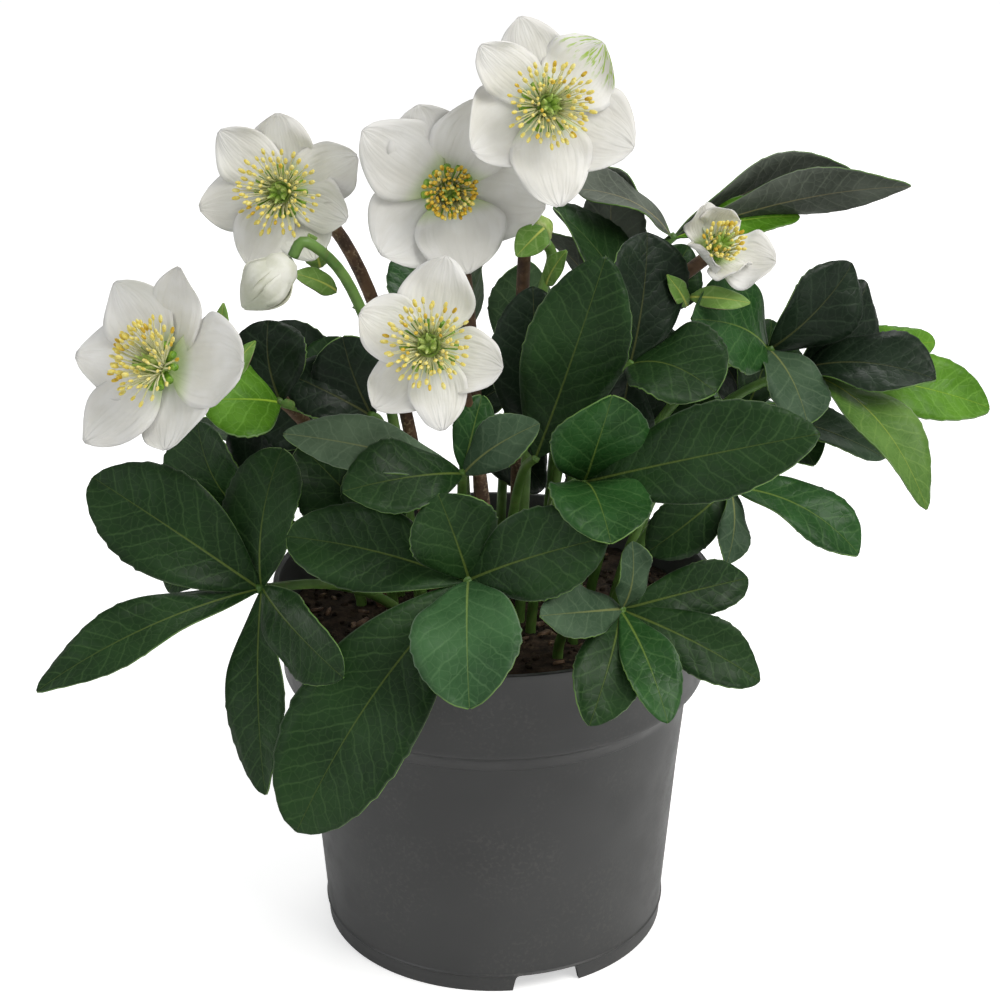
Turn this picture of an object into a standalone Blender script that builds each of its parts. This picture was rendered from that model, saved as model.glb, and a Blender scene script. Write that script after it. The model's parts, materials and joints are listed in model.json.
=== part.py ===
# Christmas rose in a nursery pot: a grey pot, its potting soil, pedate leaves, open flowers and buds.
# Metres, +Z up. The origin is the middle of the pot's foot, and -Y is the front.
import math

import bmesh
import bpy
from mathutils import Matrix, Vector

MM = 0.001

# Pot, in millimetres
POT_HEIGHT = 144.0
RIM_RADIUS = 85.0
COLLAR_FOOT = (80.4, 108.0)
SHOULDER = (75.4, 100.0)
STEP = (67.3, 7.6)
FOOT_RADIUS = 66.8
WALL = 2.4
FLOOR = (7.6, 10.4)
BOSS_RADIUS = 9.0
POT_SIDES = 28
SOIL_SIDES = 24
NOTCH_COUNT = 3
NOTCH_HEADING = 17.8
NOTCH_WIDTHS = (24.0, 29.0)
DRAIN_RADIUS = 4.0
DRAIN_CIRCLE = 42.0

# Soil, in millimetres
SOIL_TOP = 130.0
SOIL_GAP = 0.35
ROOT_DEPTH = 14.0

# Stalks and blades, in millimetres
PETIOLE_RADIUS = 2.1
PEDUNCLE_RADIUS = 2.5
STALK_SIDES = 5
BLADE_THICKNESS = 0.8
BLADE_FOLD = 0.16
HUB_LENGTH = 1.4
FRONT_LEAN = -0.5
# Stations along a leaflet, as shares of its length, with the push of each tooth and notch
LEAFLET_STATIONS = ((0.0, 1.0), (0.26, 1.0), (0.56, 1.04), (0.63, 0.96), (0.86, 1.05), (1.0, 1.0))
BACK_STATIONS = ((0.0, 1.0), (0.28, 1.0), (0.60, 1.0), (0.86, 1.0), (1.0, 1.0))
LEAFLET_SHAPE = (1.35, 0.64)
SEPAL_SHAPE = (1.0, 0.62)
SEPAL_STATIONS = ((0.0, 1.0), (0.25, 1.0), (0.55, 1.0), (0.85, 1.0), (1.0, 1.0))

# Every leaf: where its stalk stands in the soil, where its leaflets meet, and
# each leaflet's tip, width, arch above the straight line, and roll in degrees
LEAVES = {
    "leaf_front_left": ((-30, -22), (-84, -56, 165), (
        ((-144, -45, 204), 38, 8, 6),
        ((-76, -40, 213), 34, 5, 0),
        ((-161, -90, 141), 24, 8, 0),
        ((-80, -107, 109), 26, 4, 0),
        ((-51, -115, 159), 25, 4, 10),
    )),
    "leaf_front_middle": ((-8, -36), (-9, -77, 178), (
        ((-73, -66, 190), 32, 5, 0),
        ((-69, -114, 98), 46, 12, 0),
        ((-8, -124, 152), 38, 8, 0),
        ((39, -94, 202), 32, 5, 0),
        ((-19, -80, 212), 32, 2, 0),
    )),
    "leaf_front_right": ((24, -40), (45, -76, 166), (
        ((33, -114, 140), 24, 5, 0),
        ((60, -114, 141), 20, 4, 0),
        ((94, -88, 144), 22, 6, 0),
        ((91, -62, 172), 19, 5, 0),
        ((16, -106, 178), 19, 2, 0),
        ((48, -84, 196), 14, 3, 0),
    )),
    "leaf_middle_right": ((14, -20), (32, -54, 206), (
        ((111, -84, 236), 34, 8, 0),
        ((40, -99, 202), 36, 6, 0),
        ((41, -66, 243), 36, 4, 0),
    )),
    "leaf_tall": ((4, -6), (15, -32, 206), (
        ((39, -46, 287), 36, 5, 0),
        ((14, -24, 269), 32, 4, -16),
    )),
    "leaf_heart_right": ((30, -26), (49, -28, 241), (
        ((55, -14, 286), 34, 3, 0),
        ((78, -52, 239), 42, 6, 0),
        ((38, -16, 268), 17, 3, 0),
        ((42, -34, 204), 24, 3, 0),
    )),
    "leaf_heart_back": ((24, 6), (54, 8, 244), (
        ((22, 10, 288), 38, 4, 0),
        ((72, 12, 273), 24, 3, 0),
    )),
    "leaf_top": ((18, 18), (67, 31, 270), (
        ((135, 45, 293), 26, 7, -35),
        ((155, 26, 292), 22, 6, -35),
        ((30, 14, 294), 24, 6, -30),
        ((29, 46, 296), 18, 4, 0),
        ((116, 40, 276), 18, 3, 40),
    )),
    "leaf_right_upper": ((38, 14), (102, 2, 236), (
        ((71, -22, 256), 40, 5, -20),
        ((132, 6, 268), 30, 6, -10),
        ((114, -28, 218), 26, 4, 25),
    )),
    "leaf_right_outer": ((46, 2), (114, 10, 225), (
        ((141, 26, 254), 30, 5, 0),
        ((162, -14, 230), 32, 7, 35),
        ((157, -42, 190), 26, 12, 24),
        ((188, 12, 209), 26, 7, 20),
        ((170, 36, 227), 18, 5, 0),
    )),
    "leaf_right_low": ((44, -16), (86, -34, 196), (
        ((132, -50, 176), 24, 8, 0),
        ((84, -54, 174), 13, 3, 0),
        ((56, -44, 174), 22, 4, 0),
    )),
    "leaf_left_high": ((-38, -8), (-76, -40, 231), (
        ((-103, -58, 238), 34, 4, -25),
        ((-80, -32, 259), 30, 4, 20),
    )),
    "leaf_left_back": ((-37, 14), (-44, -30, 222), (
        ((-75, -29, 238), 23, 5, -5),
        ((-54, -30, 252), 30, 3, 0),
    )),
    "leaf_left_inner": ((-24, -30), (-37, -44, 174), (
        ((-70, -34, 212), 34, 5, 0),
        ((-44, -40, 212), 24, 4, 0),
    )),
    "leaf_middle_left": ((-12, -14), (-11, -54, 209), (
        ((-73, -66, 229), 20, 6, 0),
        ((16, -64, 232), 18, 4, 0),
        ((-52, -80, 213), 28, 5, 0),
    )),
    "leaf_back_left": ((-28, 26), (-60, 46, 190), (
        ((-126, 56, 178), 28, 7, 0),
        ((-112, 102, 160), 30, 8, 0),
        ((-62, 122, 152), 28, 8, 0),
        ((-92, 36, 226), 26, 5, 0),
    )),
    "leaf_back_middle": ((2, 34), (8, 70, 200), (
        ((-24, 138, 172), 30, 8, 0),
        ((38, 146, 178), 30, 8, 0),
        ((-44, 98, 206), 26, 5, 0),
        ((14, 92, 242), 26, 4, 0),
    )),
    "leaf_back_right": ((34, 34), (78, 62, 192), (
        ((144, 64, 170), 28, 8, 0),
        ((124, 108, 156), 28, 8, 0),
        ((78, 130, 150), 26, 7, 0),
    )),
    "leaf_crown_back": ((-10, 18), (-14, 28, 198), (
        ((-54, 34, 242), 36, 5, -30),
        ((-4, 38, 260), 36, 4, 0),
        ((-36, 84, 250), 30, 7, 0),
        ((19, 28, 217), 32, 4, 30),
        ((20, 27, 170), 30, 4, 60),
    )),
    "leaf_centre_right": ((28, 24), (50, 22, 194), (
        ((64, 26, 238), 34, 4, -35),
        ((86, 24, 206), 30, 4, 30),
        ((28, 32, 172), 28, 4, -60),
    )),
    "leaf_right_under": ((52, 22), (96, 22, 204), (
        ((149, 8, 190), 20, 5, 20),
        ((78, 25, 232), 30, 4, -35),
        ((106, 30, 238), 30, 4, -40),
        ((122, 6, 188), 26, 4, 20),
    )),
    "leaf_left_crown": ((-34, 26), (-58, 10, 205), (
        ((-88, 12, 214), 36, 5, -40),
        ((-58, 8, 239), 34, 5, 30),
        ((-84, 18, 240), 30, 5, 0),
        ((-72, 12, 166), 30, 5, 0),
    )),
    "leaf_left_under": ((-52, 6), (-98, 10, 168), (
        ((-140, 8, 166), 36, 6, -20),
        ((-112, 6, 206), 38, 5, 35),
        ((-74, 6, 198), 38, 5, 35),
        ((-124, -12, 143), 28, 6, -35),
    )),
    "leaf_upper_back": ((20, 40), (40, 42, 244), (
        ((44, 46, 286), 30, 4, 0),
        ((14, 42, 270), 30, 4, 0),
        ((72, 40, 254), 28, 4, 0),
    )),
}

# Every open flower: where its stalk stands, its middle, where it faces (heading from the front
# and rise, degrees), and each sepal's turn, length, width and cup in degrees
BLOOMS = {
    "bloom_left": ((-44, 6), (-114, -60, 252), (-34, 22), (
        (82, 36, 22, 16), (11, 39, 33, 8), (290, 30, 32, 8), (235, 40, 25, 10),
        (186, 36, 26, 12), (132, 34, 28, 14),
    )),
    "bloom_upper_left": ((-22, 0), (-75, -10, 300), (-8, 12), (
        (94, 28, 24, 10), (137, 31, 22, 10), (193, 31, 22, 10), (246, 29, 22, 8),
        (297, 27, 22, 8), (340, 26, 20, 10), (26, 31, 23, 10),
    )),
    "bloom_upper_middle": ((-4, 4), (-16, -20, 303), (6, 10), (
        (109, 33, 30, 12), (143, 38, 29, 10), (221, 33, 34, 8), (282, 30, 34, 8),
        (350, 35, 32, 8), (66, 36, 28, 12),
    )),
    "bloom_top": ((8, 12), (18, -30, 336), (10, 16), (
        (106, 32, 23, 12), (138, 32, 20, 14), (207, 31, 30, 10), (274, 35, 29, 8),
        (332, 34, 32, 8), (45, 29, 29, 10),
    )),
    "bloom_front": ((0, -24), (-21, -86, 268), (-4, 24), (
        (81, 31, 25, 12), (156, 26, 24, 12), (230, 28, 22, 10), (281, 29, 20, 10),
        (344, 26, 23, 10),
    )),
    "bloom_small": ((30, -10), (79, -16, 280), (18, 34), (
        (119, 20, 15, 44), (74, 17, 16, 50), (335, 23, 23, 24), (284, 15, 17, 40),
        (215, 13, 15, 56),
    )),
}

# Every bud: where its stalk stands, its middle, the way it points, its length and its width
BUDS = {
    "bud_white": ((-28, -8), (-79, -38, 275), (-0.62, -0.15, -0.62), 24, 17),
    "bud_green": ((10, -8), (17, -10, 286), (-0.3, -0.3, 0.9), 12, 8),
}

LEAF_COLOUR = (0.035, 0.115, 0.035)
STALK_COLOUR = (0.16, 0.28, 0.06)
WOODY_COLOUR = (0.15, 0.075, 0.045)
SEPAL_COLOUR = (0.88, 0.87, 0.84)
HEART_COLOUR = (0.30, 0.50, 0.08)
STAMEN_COLOUR = (0.85, 0.66, 0.14)
POT_COLOUR = (0.075, 0.078, 0.078)
SOIL_COLOUR = (0.028, 0.020, 0.015)


def clear_scene():
    for obj in list(bpy.data.objects):
        bpy.data.objects.remove(obj, do_unlink=True)


def material(name, colour, roughness):
    made = bpy.data.materials.new(name)
    made.use_nodes = True
    shader = made.node_tree.nodes["Principled BSDF"]
    shader.inputs["Base Color"].default_value = (*colour, 1.0)
    shader.inputs["Roughness"].default_value = roughness
    made.diffuse_color = (*colour, 1.0)
    return made


def mesh_of(bm, name):
    bmesh.ops.recalc_face_normals(bm, faces=bm.faces)
    mesh = bpy.data.meshes.new(name)
    bm.to_mesh(mesh)
    bm.free()
    return mesh


def place(name, mesh, finish):
    obj = bpy.data.objects.new(name, mesh)
    bpy.context.scene.collection.objects.link(obj)
    mesh.materials.clear()
    mesh.materials.append(finish)
    return obj


def fuse(name, meshes, finish):
    """Joins the meshes into one solid: the first takes all the others in one union."""
    obj = place(name, meshes[0], finish)
    others = bpy.data.collections.new(name + "_pieces")
    bpy.context.scene.collection.children.link(others)
    for mesh in meshes[1:]:
        others.objects.link(bpy.data.objects.new(name + "_piece", mesh))
    union = obj.modifiers.new("union", "BOOLEAN")
    union.operation = "UNION"
    union.operand_type = "COLLECTION"
    union.collection = others
    union.solver = "MANIFOLD"
    bpy.context.view_layer.update()
    graph = bpy.context.evaluated_depsgraph_get()
    joined = bpy.data.meshes.new_from_object(obj.evaluated_get(graph))
    obj.modifiers.clear()
    obj.data = joined
    for piece in list(others.objects):
        bpy.data.objects.remove(piece, do_unlink=True)
    bpy.data.collections.remove(others)
    joined.materials.clear()
    joined.materials.append(finish)
    return obj


def turned(profile, sides, name):
    """A closed outline of (radius, height) in millimetres, spun round Z."""
    bm = bmesh.new()
    points = [bm.verts.new((r * MM, 0.0, z * MM)) for r, z in profile]
    edges = [bm.edges.new((a, b)) for a, b in zip(points, points[1:])]
    closed = profile[0][0] > 0 and profile[-1][0] > 0
    if closed:
        edges.append(bm.edges.new((points[-1], points[0])))
    bmesh.ops.spin(
        bm, geom=points + edges, cent=(0, 0, 0), axis=(0, 0, 1),
        angle=2 * math.pi, steps=sides, use_merge=True,
    )
    bmesh.ops.remove_doubles(bm, verts=bm.verts, dist=1e-6)
    return mesh_of(bm, name)


def sweep(points, radii, sides, name):
    """A capped round stalk through points, all in millimetres."""
    bm = bmesh.new()
    path = [Vector(p) * MM for p in points]
    side = None
    rings = []
    for i, here in enumerate(path):
        before = path[max(i - 1, 0)]
        after = path[min(i + 1, len(path) - 1)]
        along = (after - before).normalized()
        if side is None:
            side = along.orthogonal().normalized()
        side = (side - along * side.dot(along)).normalized()
        other = along.cross(side)
        ring = []
        for k in range(sides):
            turn = 2 * math.pi * k / sides
            spoke = side * math.cos(turn) + other * math.sin(turn)
            ring.append(bm.verts.new(here + spoke * radii[i] * MM))
        rings.append(ring)
    for low, high in zip(rings, rings[1:]):
        for k in range(sides):
            j = (k + 1) % sides
            bm.faces.new((low[k], low[j], high[j], high[k]))
    bm.faces.new(list(reversed(rings[0])))
    bm.faces.new(rings[-1])
    return mesh_of(bm, name)


def curve_point(p0, p1, p2, t):
    return p0 * (1 - t) ** 2 + p1 * 2 * t * (1 - t) + p2 * t ** 2


def outline(t, power, blunt):
    """Share of the half width at t along a blade: pointed at both ends, widest past the middle."""
    return max(math.sin(math.pi * min(t, 1.0) ** power), 0.0) ** blunt


def blade(root, tip, width, arch, roll, face, stations, power, blunt, fold, name, base=1.1):
    """A thin blade with a rib, from root to tip in millimetres. face is roughly its upper side."""
    root, tip, face = Vector(root), Vector(tip), Vector(face)
    straight = tip - root
    upper = (face - straight * face.dot(straight) / straight.length_squared).normalized()
    upper = Matrix.Rotation(math.radians(roll), 3, straight.normalized()) @ upper
    middle = (root + tip) / 2 + upper * arch * 2
    bm = bmesh.new()
    rows = []
    for t, push in stations:
        here = curve_point(root, middle, tip, t)
        along = ((middle - root) * (1 - t) + (tip - middle) * t).normalized()
        across = along.cross(upper).normalized()
        normal = across.cross(along).normalized()
        half = max(width / 2 * outline(t, power, blunt) * push, base * (1 - 0.6 * t))
        thick = normal * BLADE_THICKNESS / 2
        lift = normal * half * fold
        row = []
        for offset in (-across * half + lift, Vector((0, 0, 0)), across * half + lift):
            row.append(bm.verts.new((here + offset + thick) * MM))
            row.append(bm.verts.new((here + offset - thick) * MM))
        rows.append(row)
    for a, b in zip(rows, rows[1:]):
        for left, right in ((0, 2), (2, 4)):
            for lower in (0, 1):
                p, q, r, s = a[left + lower], a[right + lower], b[right + lower], b[left + lower]
                for corners in ((p, q, r), (p, r, s)) if left else ((p, q, s), (q, r, s)):
                    bm.faces.new(corners)
        for edge in (0, 4):
            p, q, r, s = a[edge], a[edge + 1], b[edge + 1], b[edge]
            bm.faces.new((p, q, r))
            bm.faces.new((p, r, s))
    for row in (rows[0], rows[-1]):
        bm.faces.new((row[0], row[1], row[3], row[2]))
        bm.faces.new((row[2], row[3], row[5], row[4]))
    return mesh_of(bm, name)


def stalk_path(foot, top, steps=4):
    """From a straight root in the soil, up and over to top."""
    x, y = foot
    start = Vector((x, y, SOIL_TOP + 3.0))
    lean = Vector((x * 0.72 + top[0] * 0.28, y * 0.72 + top[1] * 0.28, top[2] * 0.9 + SOIL_TOP * 0.1))
    end = Vector(top)
    points = [Vector((x, y, SOIL_TOP - ROOT_DEPTH))]
    points += [curve_point(start, lean, end, i / steps) for i in range(steps + 1)]
    return points


def build_pot(finish):
    inner = WALL
    profile = [
        (0.0, FLOOR[1]),
        (STEP[0] - inner - 0.6, FLOOR[1]),
        (SHOULDER[0] - inner, SHOULDER[1] + 1.0),
        (COLLAR_FOOT[0] - inner, COLLAR_FOOT[1] + 2.0),
        (RIM_RADIUS - inner - 0.8, POT_HEIGHT - 2.0),
        (RIM_RADIUS - inner, POT_HEIGHT),
        (RIM_RADIUS - 0.5, POT_HEIGHT),
        (RIM_RADIUS, POT_HEIGHT - 1.2),
        (COLLAR_FOOT[0], COLLAR_FOOT[1]),
        (SHOULDER[0], SHOULDER[1]),
        (STEP[0], STEP[1]),
        (FOOT_RADIUS, STEP[1] - 0.6),
        (FOOT_RADIUS, 0.0),
        (FOOT_RADIUS - WALL, 0.0),
        (FOOT_RADIUS - WALL, FLOOR[0]),
        (BOSS_RADIUS + 1.0, FLOOR[0]),
        (BOSS_RADIUS, 0.0),
        (0.0, 0.0),
    ]
    obj = place("pot", turned(profile, POT_SIDES, "pot"), finish)
    cutters = bpy.data.collections.new("pot_cutters")
    bpy.context.scene.collection.children.link(cutters)
    for k in range(NOTCH_COUNT):
        heading = math.radians(NOTCH_HEADING + k * 360 / NOTCH_COUNT) - math.pi / 2
        turn = Matrix.Rotation(heading, 4, "Z")
        top, bottom = NOTCH_WIDTHS[0] / 2, NOTCH_WIDTHS[1] / 2
        high, low = STEP[1] - 0.7, -5.0
        near, far = FOOT_RADIUS - WALL - 4.0, FOOT_RADIUS + 4.0
        bm = bmesh.new()
        ends = []
        for x in (near, far):
            corners = ((x, -bottom, low), (x, bottom, low), (x, top, high), (x, -top, high))
            ends.append([bm.verts.new(turn @ (Vector(c) * MM)) for c in corners])
        bmesh.ops.contextual_create(bm, geom=ends[0])
        bmesh.ops.contextual_create(bm, geom=ends[1])
        for i in range(4):
            j = (i + 1) % 4
            bm.faces.new((ends[0][i], ends[0][j], ends[1][j], ends[1][i]))
        cutters.objects.link(bpy.data.objects.new("notch", mesh_of(bm, "notch")))
        spot = turn @ Vector((DRAIN_CIRCLE * MM, 0, 9.0 * MM))
        bm = bmesh.new()
        bmesh.ops.create_cone(
            bm, cap_ends=True, segments=10, depth=12 * MM,
            radius1=DRAIN_RADIUS * MM, radius2=DRAIN_RADIUS * MM,
        )
        bmesh.ops.translate(bm, verts=bm.verts, vec=spot)
        cutters.objects.link(bpy.data.objects.new("drain", mesh_of(bm, "drain")))
    apply_cut(obj, cutters)


def apply_cut(obj, cutters):
    cut = obj.modifiers.new("cut", "BOOLEAN")
    cut.operation = "DIFFERENCE"
    cut.operand_type = "COLLECTION"
    cut.collection = cutters
    cut.solver = "EXACT"
    bpy.context.view_layer.update()
    graph = bpy.context.evaluated_depsgraph_get()
    finish = obj.data.materials[0]
    obj.data = bpy.data.meshes.new_from_object(obj.evaluated_get(graph))
    obj.modifiers.clear()
    obj.data.materials.clear()
    obj.data.materials.append(finish)
    for piece in list(cutters.objects):
        bpy.data.objects.remove(piece, do_unlink=True)
    bpy.data.collections.remove(cutters)


def build_soil(finish):
    """The root ball and compost, with a plain hole for every stalk that stands in it."""
    gap = WALL + SOIL_GAP
    profile = [
        (0.0, SOIL_TOP),
        (40.0, SOIL_TOP),
        (70.0, SOIL_TOP - 1.5),
        (COLLAR_FOOT[0] + 1.6 - gap, SOIL_TOP - 2.5),
        (COLLAR_FOOT[0] - gap - 0.7, COLLAR_FOOT[1] + 2.0),
        (SHOULDER[0] - gap - 0.7, SHOULDER[1] + 1.0),
        (STEP[0] - gap - 0.9, FLOOR[1] + SOIL_GAP),
        (0.0, FLOOR[1] + SOIL_GAP),
    ]
    obj = place("soil", turned(profile, SOIL_SIDES, "soil"), finish)
    cutters = bpy.data.collections.new("soil_cutters")
    bpy.context.scene.collection.children.link(cutters)
    feet = [(plan[0], PETIOLE_RADIUS) for plan in LEAVES.values()]
    feet += [(plan[0], PEDUNCLE_RADIUS) for plan in BLOOMS.values()]
    feet += [(plan[0], PETIOLE_RADIUS) for plan in BUDS.values()]
    for (x, y), radius in feet:
        bm = bmesh.new()
        hole = (radius + SOIL_GAP) / math.cos(math.pi / STALK_SIDES)
        bmesh.ops.create_cone(
            bm, cap_ends=True, segments=STALK_SIDES, depth=2 * (ROOT_DEPTH + SOIL_GAP) * MM,
            radius1=hole * MM, radius2=hole * MM,
        )
        bmesh.ops.translate(bm, verts=bm.verts, vec=Vector((x, y, SOIL_TOP)) * MM)
        cutters.objects.link(bpy.data.objects.new("hole", mesh_of(bm, "hole")))
    apply_cut(obj, cutters)


def build_leaf(name, foot, hub, leaflets, finish):
    """A stalk that ends in the hub, and the leaflets that spread from it."""
    centre = Vector(hub)
    points = stalk_path(foot, hub)
    points.append(centre + (centre - points[-2]).normalized() * HUB_LENGTH)
    radii = [PETIOLE_RADIUS * (1 - 0.2 * i / (len(points) - 1)) for i in range(len(points))]
    meshes = [sweep(points, radii, STALK_SIDES, name)]
    behind = centre.y > 25
    outward = Vector((centre.x, centre.y, 0)) * 0.012
    face = Vector((0, 0, 1)) + outward + Vector((0, 0 if behind else FRONT_LEAN, 0))
    stations = BACK_STATIONS if centre.y > -1 else LEAFLET_STATIONS
    for i, (tip, width, arch, roll) in enumerate(leaflets):
        root = centre + Vector((0.11 * i, -0.07 * i, 0.23 * i - 0.4))
        meshes.append(blade(
            root, tip, width, arch, roll, face, stations, *LEAFLET_SHAPE, BLADE_FOLD, name,
        ))
    fuse(name, meshes, finish)


def facing(heading, rise):
    """The way a flower looks: heading turns from the front towards +X, rise is above the horizon."""
    h, r = math.radians(heading), math.radians(rise)
    return Vector((math.sin(h) * math.cos(r), -math.cos(h) * math.cos(r), math.sin(r)))


def bloom_frame(middle, look):
    """Local X is the flower's right as seen from in front of it, Y its top, Z the way it looks."""
    z = facing(*look)
    x = Vector((0, 0, 1)).cross(z).normalized()
    y = z.cross(x)
    turn = Matrix((x, y, z)).transposed().to_4x4()
    return Matrix.Translation(Vector(middle) * MM) @ turn


def moved(mesh, matrix):
    mesh.transform(matrix)
    return mesh


# Flower heart, in millimetres from the flower's middle along the way it looks
RECEPTACLE = (4.8, -2.1, 0.5)
HEART_BASE = 1.4
HEART_STEP = 3.6
HEART_RADII = (4.4, 2.8)
HEART_TOP = 6.4
NECTARY_COUNT = 7
NECTARY_SIZE = (7.0, 0.9, 1.5)
CARPEL_COUNT = 3
CARPEL_HEIGHT = 7.0
COLLAR_RADII = (3.2, 4.5)
COLLAR_SPAN = (3.95, 5.4)
STAMEN_RINGS = ((6, 34.0, 13.0), (5, 52.0, 13.5), (3, 70.0, 12.5))
STAMEN_RADII = (0.55, 0.6, 1.2)


def polar(radius, turn, height):
    return Vector((radius * math.cos(turn), radius * math.sin(turn), height))


def build_bloom(name, foot, middle, look, sepals, finishes):
    frame = bloom_frame(middle, look)
    petals = [moved(turned([
        (0.0, RECEPTACLE[2]), (RECEPTACLE[0], RECEPTACLE[2]),
        (RECEPTACLE[0] - 1, RECEPTACLE[1]), (0.0, RECEPTACLE[1]),
    ], 8, name), frame)]
    for i, (turn, length, width, cup) in enumerate(sepals):
        angle, rise = math.radians(turn), math.radians(cup)
        last = i == len(sepals) - 1 and i % 2 == 0
        level = -0.7 if last else -1.5 + 1.6 * (i % 2)
        root = polar(3.7 if cup > 30 else 2.0 + 0.07 * i, angle, level + 0.05 * i)
        tip = polar(length * math.cos(rise), angle, level + length * math.sin(rise))
        mesh = blade(
            root, tip, width, -2.0, 0, (0, 0, 1), SEPAL_STATIONS, *SEPAL_SHAPE, 0.05, name, 2.6,
        )
        petals.append(moved(mesh, frame))
    fuse(name + "_sepals", petals, finishes["sepal"])

    cupped = max(cup for _, _, _, cup in sepals) > 30
    lean = math.radians(24.0)
    heart = [moved(turned([
        (0.0, HEART_TOP + 1), (HEART_RADII[1] - 0.6, HEART_TOP), (HEART_RADII[1], HEART_STEP),
        (HEART_RADII[0], HEART_STEP), (HEART_RADII[0], HEART_BASE), (0.0, HEART_BASE),
    ], 6, name), frame)]
    length, narrow, wide = NECTARY_SIZE
    for k in range(0 if cupped else NECTARY_COUNT):
        turn = 2 * math.pi * k / NECTARY_COUNT
        start = polar(HEART_RADII[0] - 1.5, turn, HEART_BASE + 0.7)
        way = polar(math.cos(lean), turn, math.sin(lean))
        points = [start, start + way * length]
        heart.append(moved(sweep(points, (narrow, wide), 4, name), frame))
    for k in range(CARPEL_COUNT):
        turn = 2 * math.pi * (k + 0.5) / CARPEL_COUNT
        start = polar(1.2, turn, HEART_TOP - 1)
        points = [start, polar(1.7, turn, HEART_TOP + CARPEL_HEIGHT * 0.45),
                  polar(2.6, turn, HEART_TOP + CARPEL_HEIGHT)]
        heart.append(moved(sweep(points, (0.9, 0.8, 0.3), 3, name), frame))
    fuse(name + "_heart", heart, finishes["heart"])

    inner, outer = COLLAR_RADII
    low, high = COLLAR_SPAN
    stamens = [moved(turned([(inner, low), (outer, low), (outer - 0.4, high), (inner, high)], 8, name), frame)]
    for ring, (count, tilt, reach) in enumerate(STAMEN_RINGS):
        rise = math.radians(max(tilt, 70.0) if cupped else tilt)
        for k in range(count):
            turn = 2 * math.pi * (k + 0.37 * ring) / count
            start = polar((inner + outer) / 2, turn, (low + high) / 2)
            way = polar(math.cos(rise), turn, math.sin(rise))
            points = [start, start + way * (reach - 2.6), start + way * reach]
            stamens.append(moved(sweep(points, STAMEN_RADII, 3, name), frame))
    fuse(name + "_stamens", stamens, finishes["stamen"])

    z = facing(*look)
    neck = Vector(middle) + z * (RECEPTACLE[1] - 0.35)
    path = stalk_path(foot, neck - z * 9.0) + [neck - z * 3.0, neck]
    radii = [PEDUNCLE_RADIUS] * (len(path) - 1) + [PEDUNCLE_RADIUS * 1.1]
    place(name + "_stalk", sweep(path, radii, STALK_SIDES, name), finishes["woody"])


def build_bud(name, foot, middle, way, length, width, finishes):
    z = Vector(way).normalized()
    x = z.orthogonal().normalized()
    turn = Matrix((x, z.cross(x), z)).transposed().to_4x4()
    frame = Matrix.Translation(Vector(middle) * MM) @ turn
    half = length / 2
    rounds = [(0.0, -half), (width * 0.30, -half * 0.8), (width * 0.46, -half * 0.1),
              (width * 0.34, half * 0.55), (0.0, half)]
    pieces = [moved(turned(rounds, 8, name), frame)]
    for angle in (0.4, 0.4 + math.pi):
        root = polar(width * 0.12, angle, -half * 0.85)
        tip = polar(width * 0.42, angle, half * 0.8)
        mesh = blade(
            root, tip, width * 0.8, -width * 0.16, 0, polar(-1.0, angle, 0),
            SEPAL_STATIONS, *SEPAL_SHAPE, 0.3, name, 1.5,
        )
        pieces.append(moved(mesh, frame))
    fuse(name, pieces, finishes["sepal" if name == "bud_white" else "heart"])
    neck = Vector(middle) - z * (half + 0.6)
    path = stalk_path(foot, neck - z * 7.0) + [neck]
    radii = [PETIOLE_RADIUS * 0.95] * len(path)
    place(name + "_stalk", sweep(path, radii, STALK_SIDES, name), finishes["stalk"])


def main():
    clear_scene()
    finishes = {
        "leaf": material("leaf", LEAF_COLOUR, 0.45),
        "stalk": material("stalk", STALK_COLOUR, 0.5),
        "woody": material("woody_stalk", WOODY_COLOUR, 0.6),
        "sepal": material("sepal", SEPAL_COLOUR, 0.5),
        "heart": material("heart", HEART_COLOUR, 0.45),
        "stamen": material("stamen", STAMEN_COLOUR, 0.5),
        "pot": material("pot", POT_COLOUR, 0.4),
        "soil": material("soil", SOIL_COLOUR, 0.95),
    }
    build_pot(finishes["pot"])
    build_soil(finishes["soil"])
    for name, (foot, hub, leaflets) in LEAVES.items():
        build_leaf(name, foot, hub, leaflets, finishes["leaf"])
    for name, (foot, middle, look, sepals) in BLOOMS.items():
        build_bloom(name, foot, middle, look, sepals, finishes)
    for name, (foot, middle, way, length, width) in BUDS.items():
        build_bud(name, foot, middle, way, length, width, finishes)


main()
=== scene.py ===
# Dresses the potted Christmas rose: leaves with ribs and veins, sepals, stamens, stalks, pot and compost.
import json
import math
import random

import bmesh
import bpy
from mathutils import Matrix, Vector, noise

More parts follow.
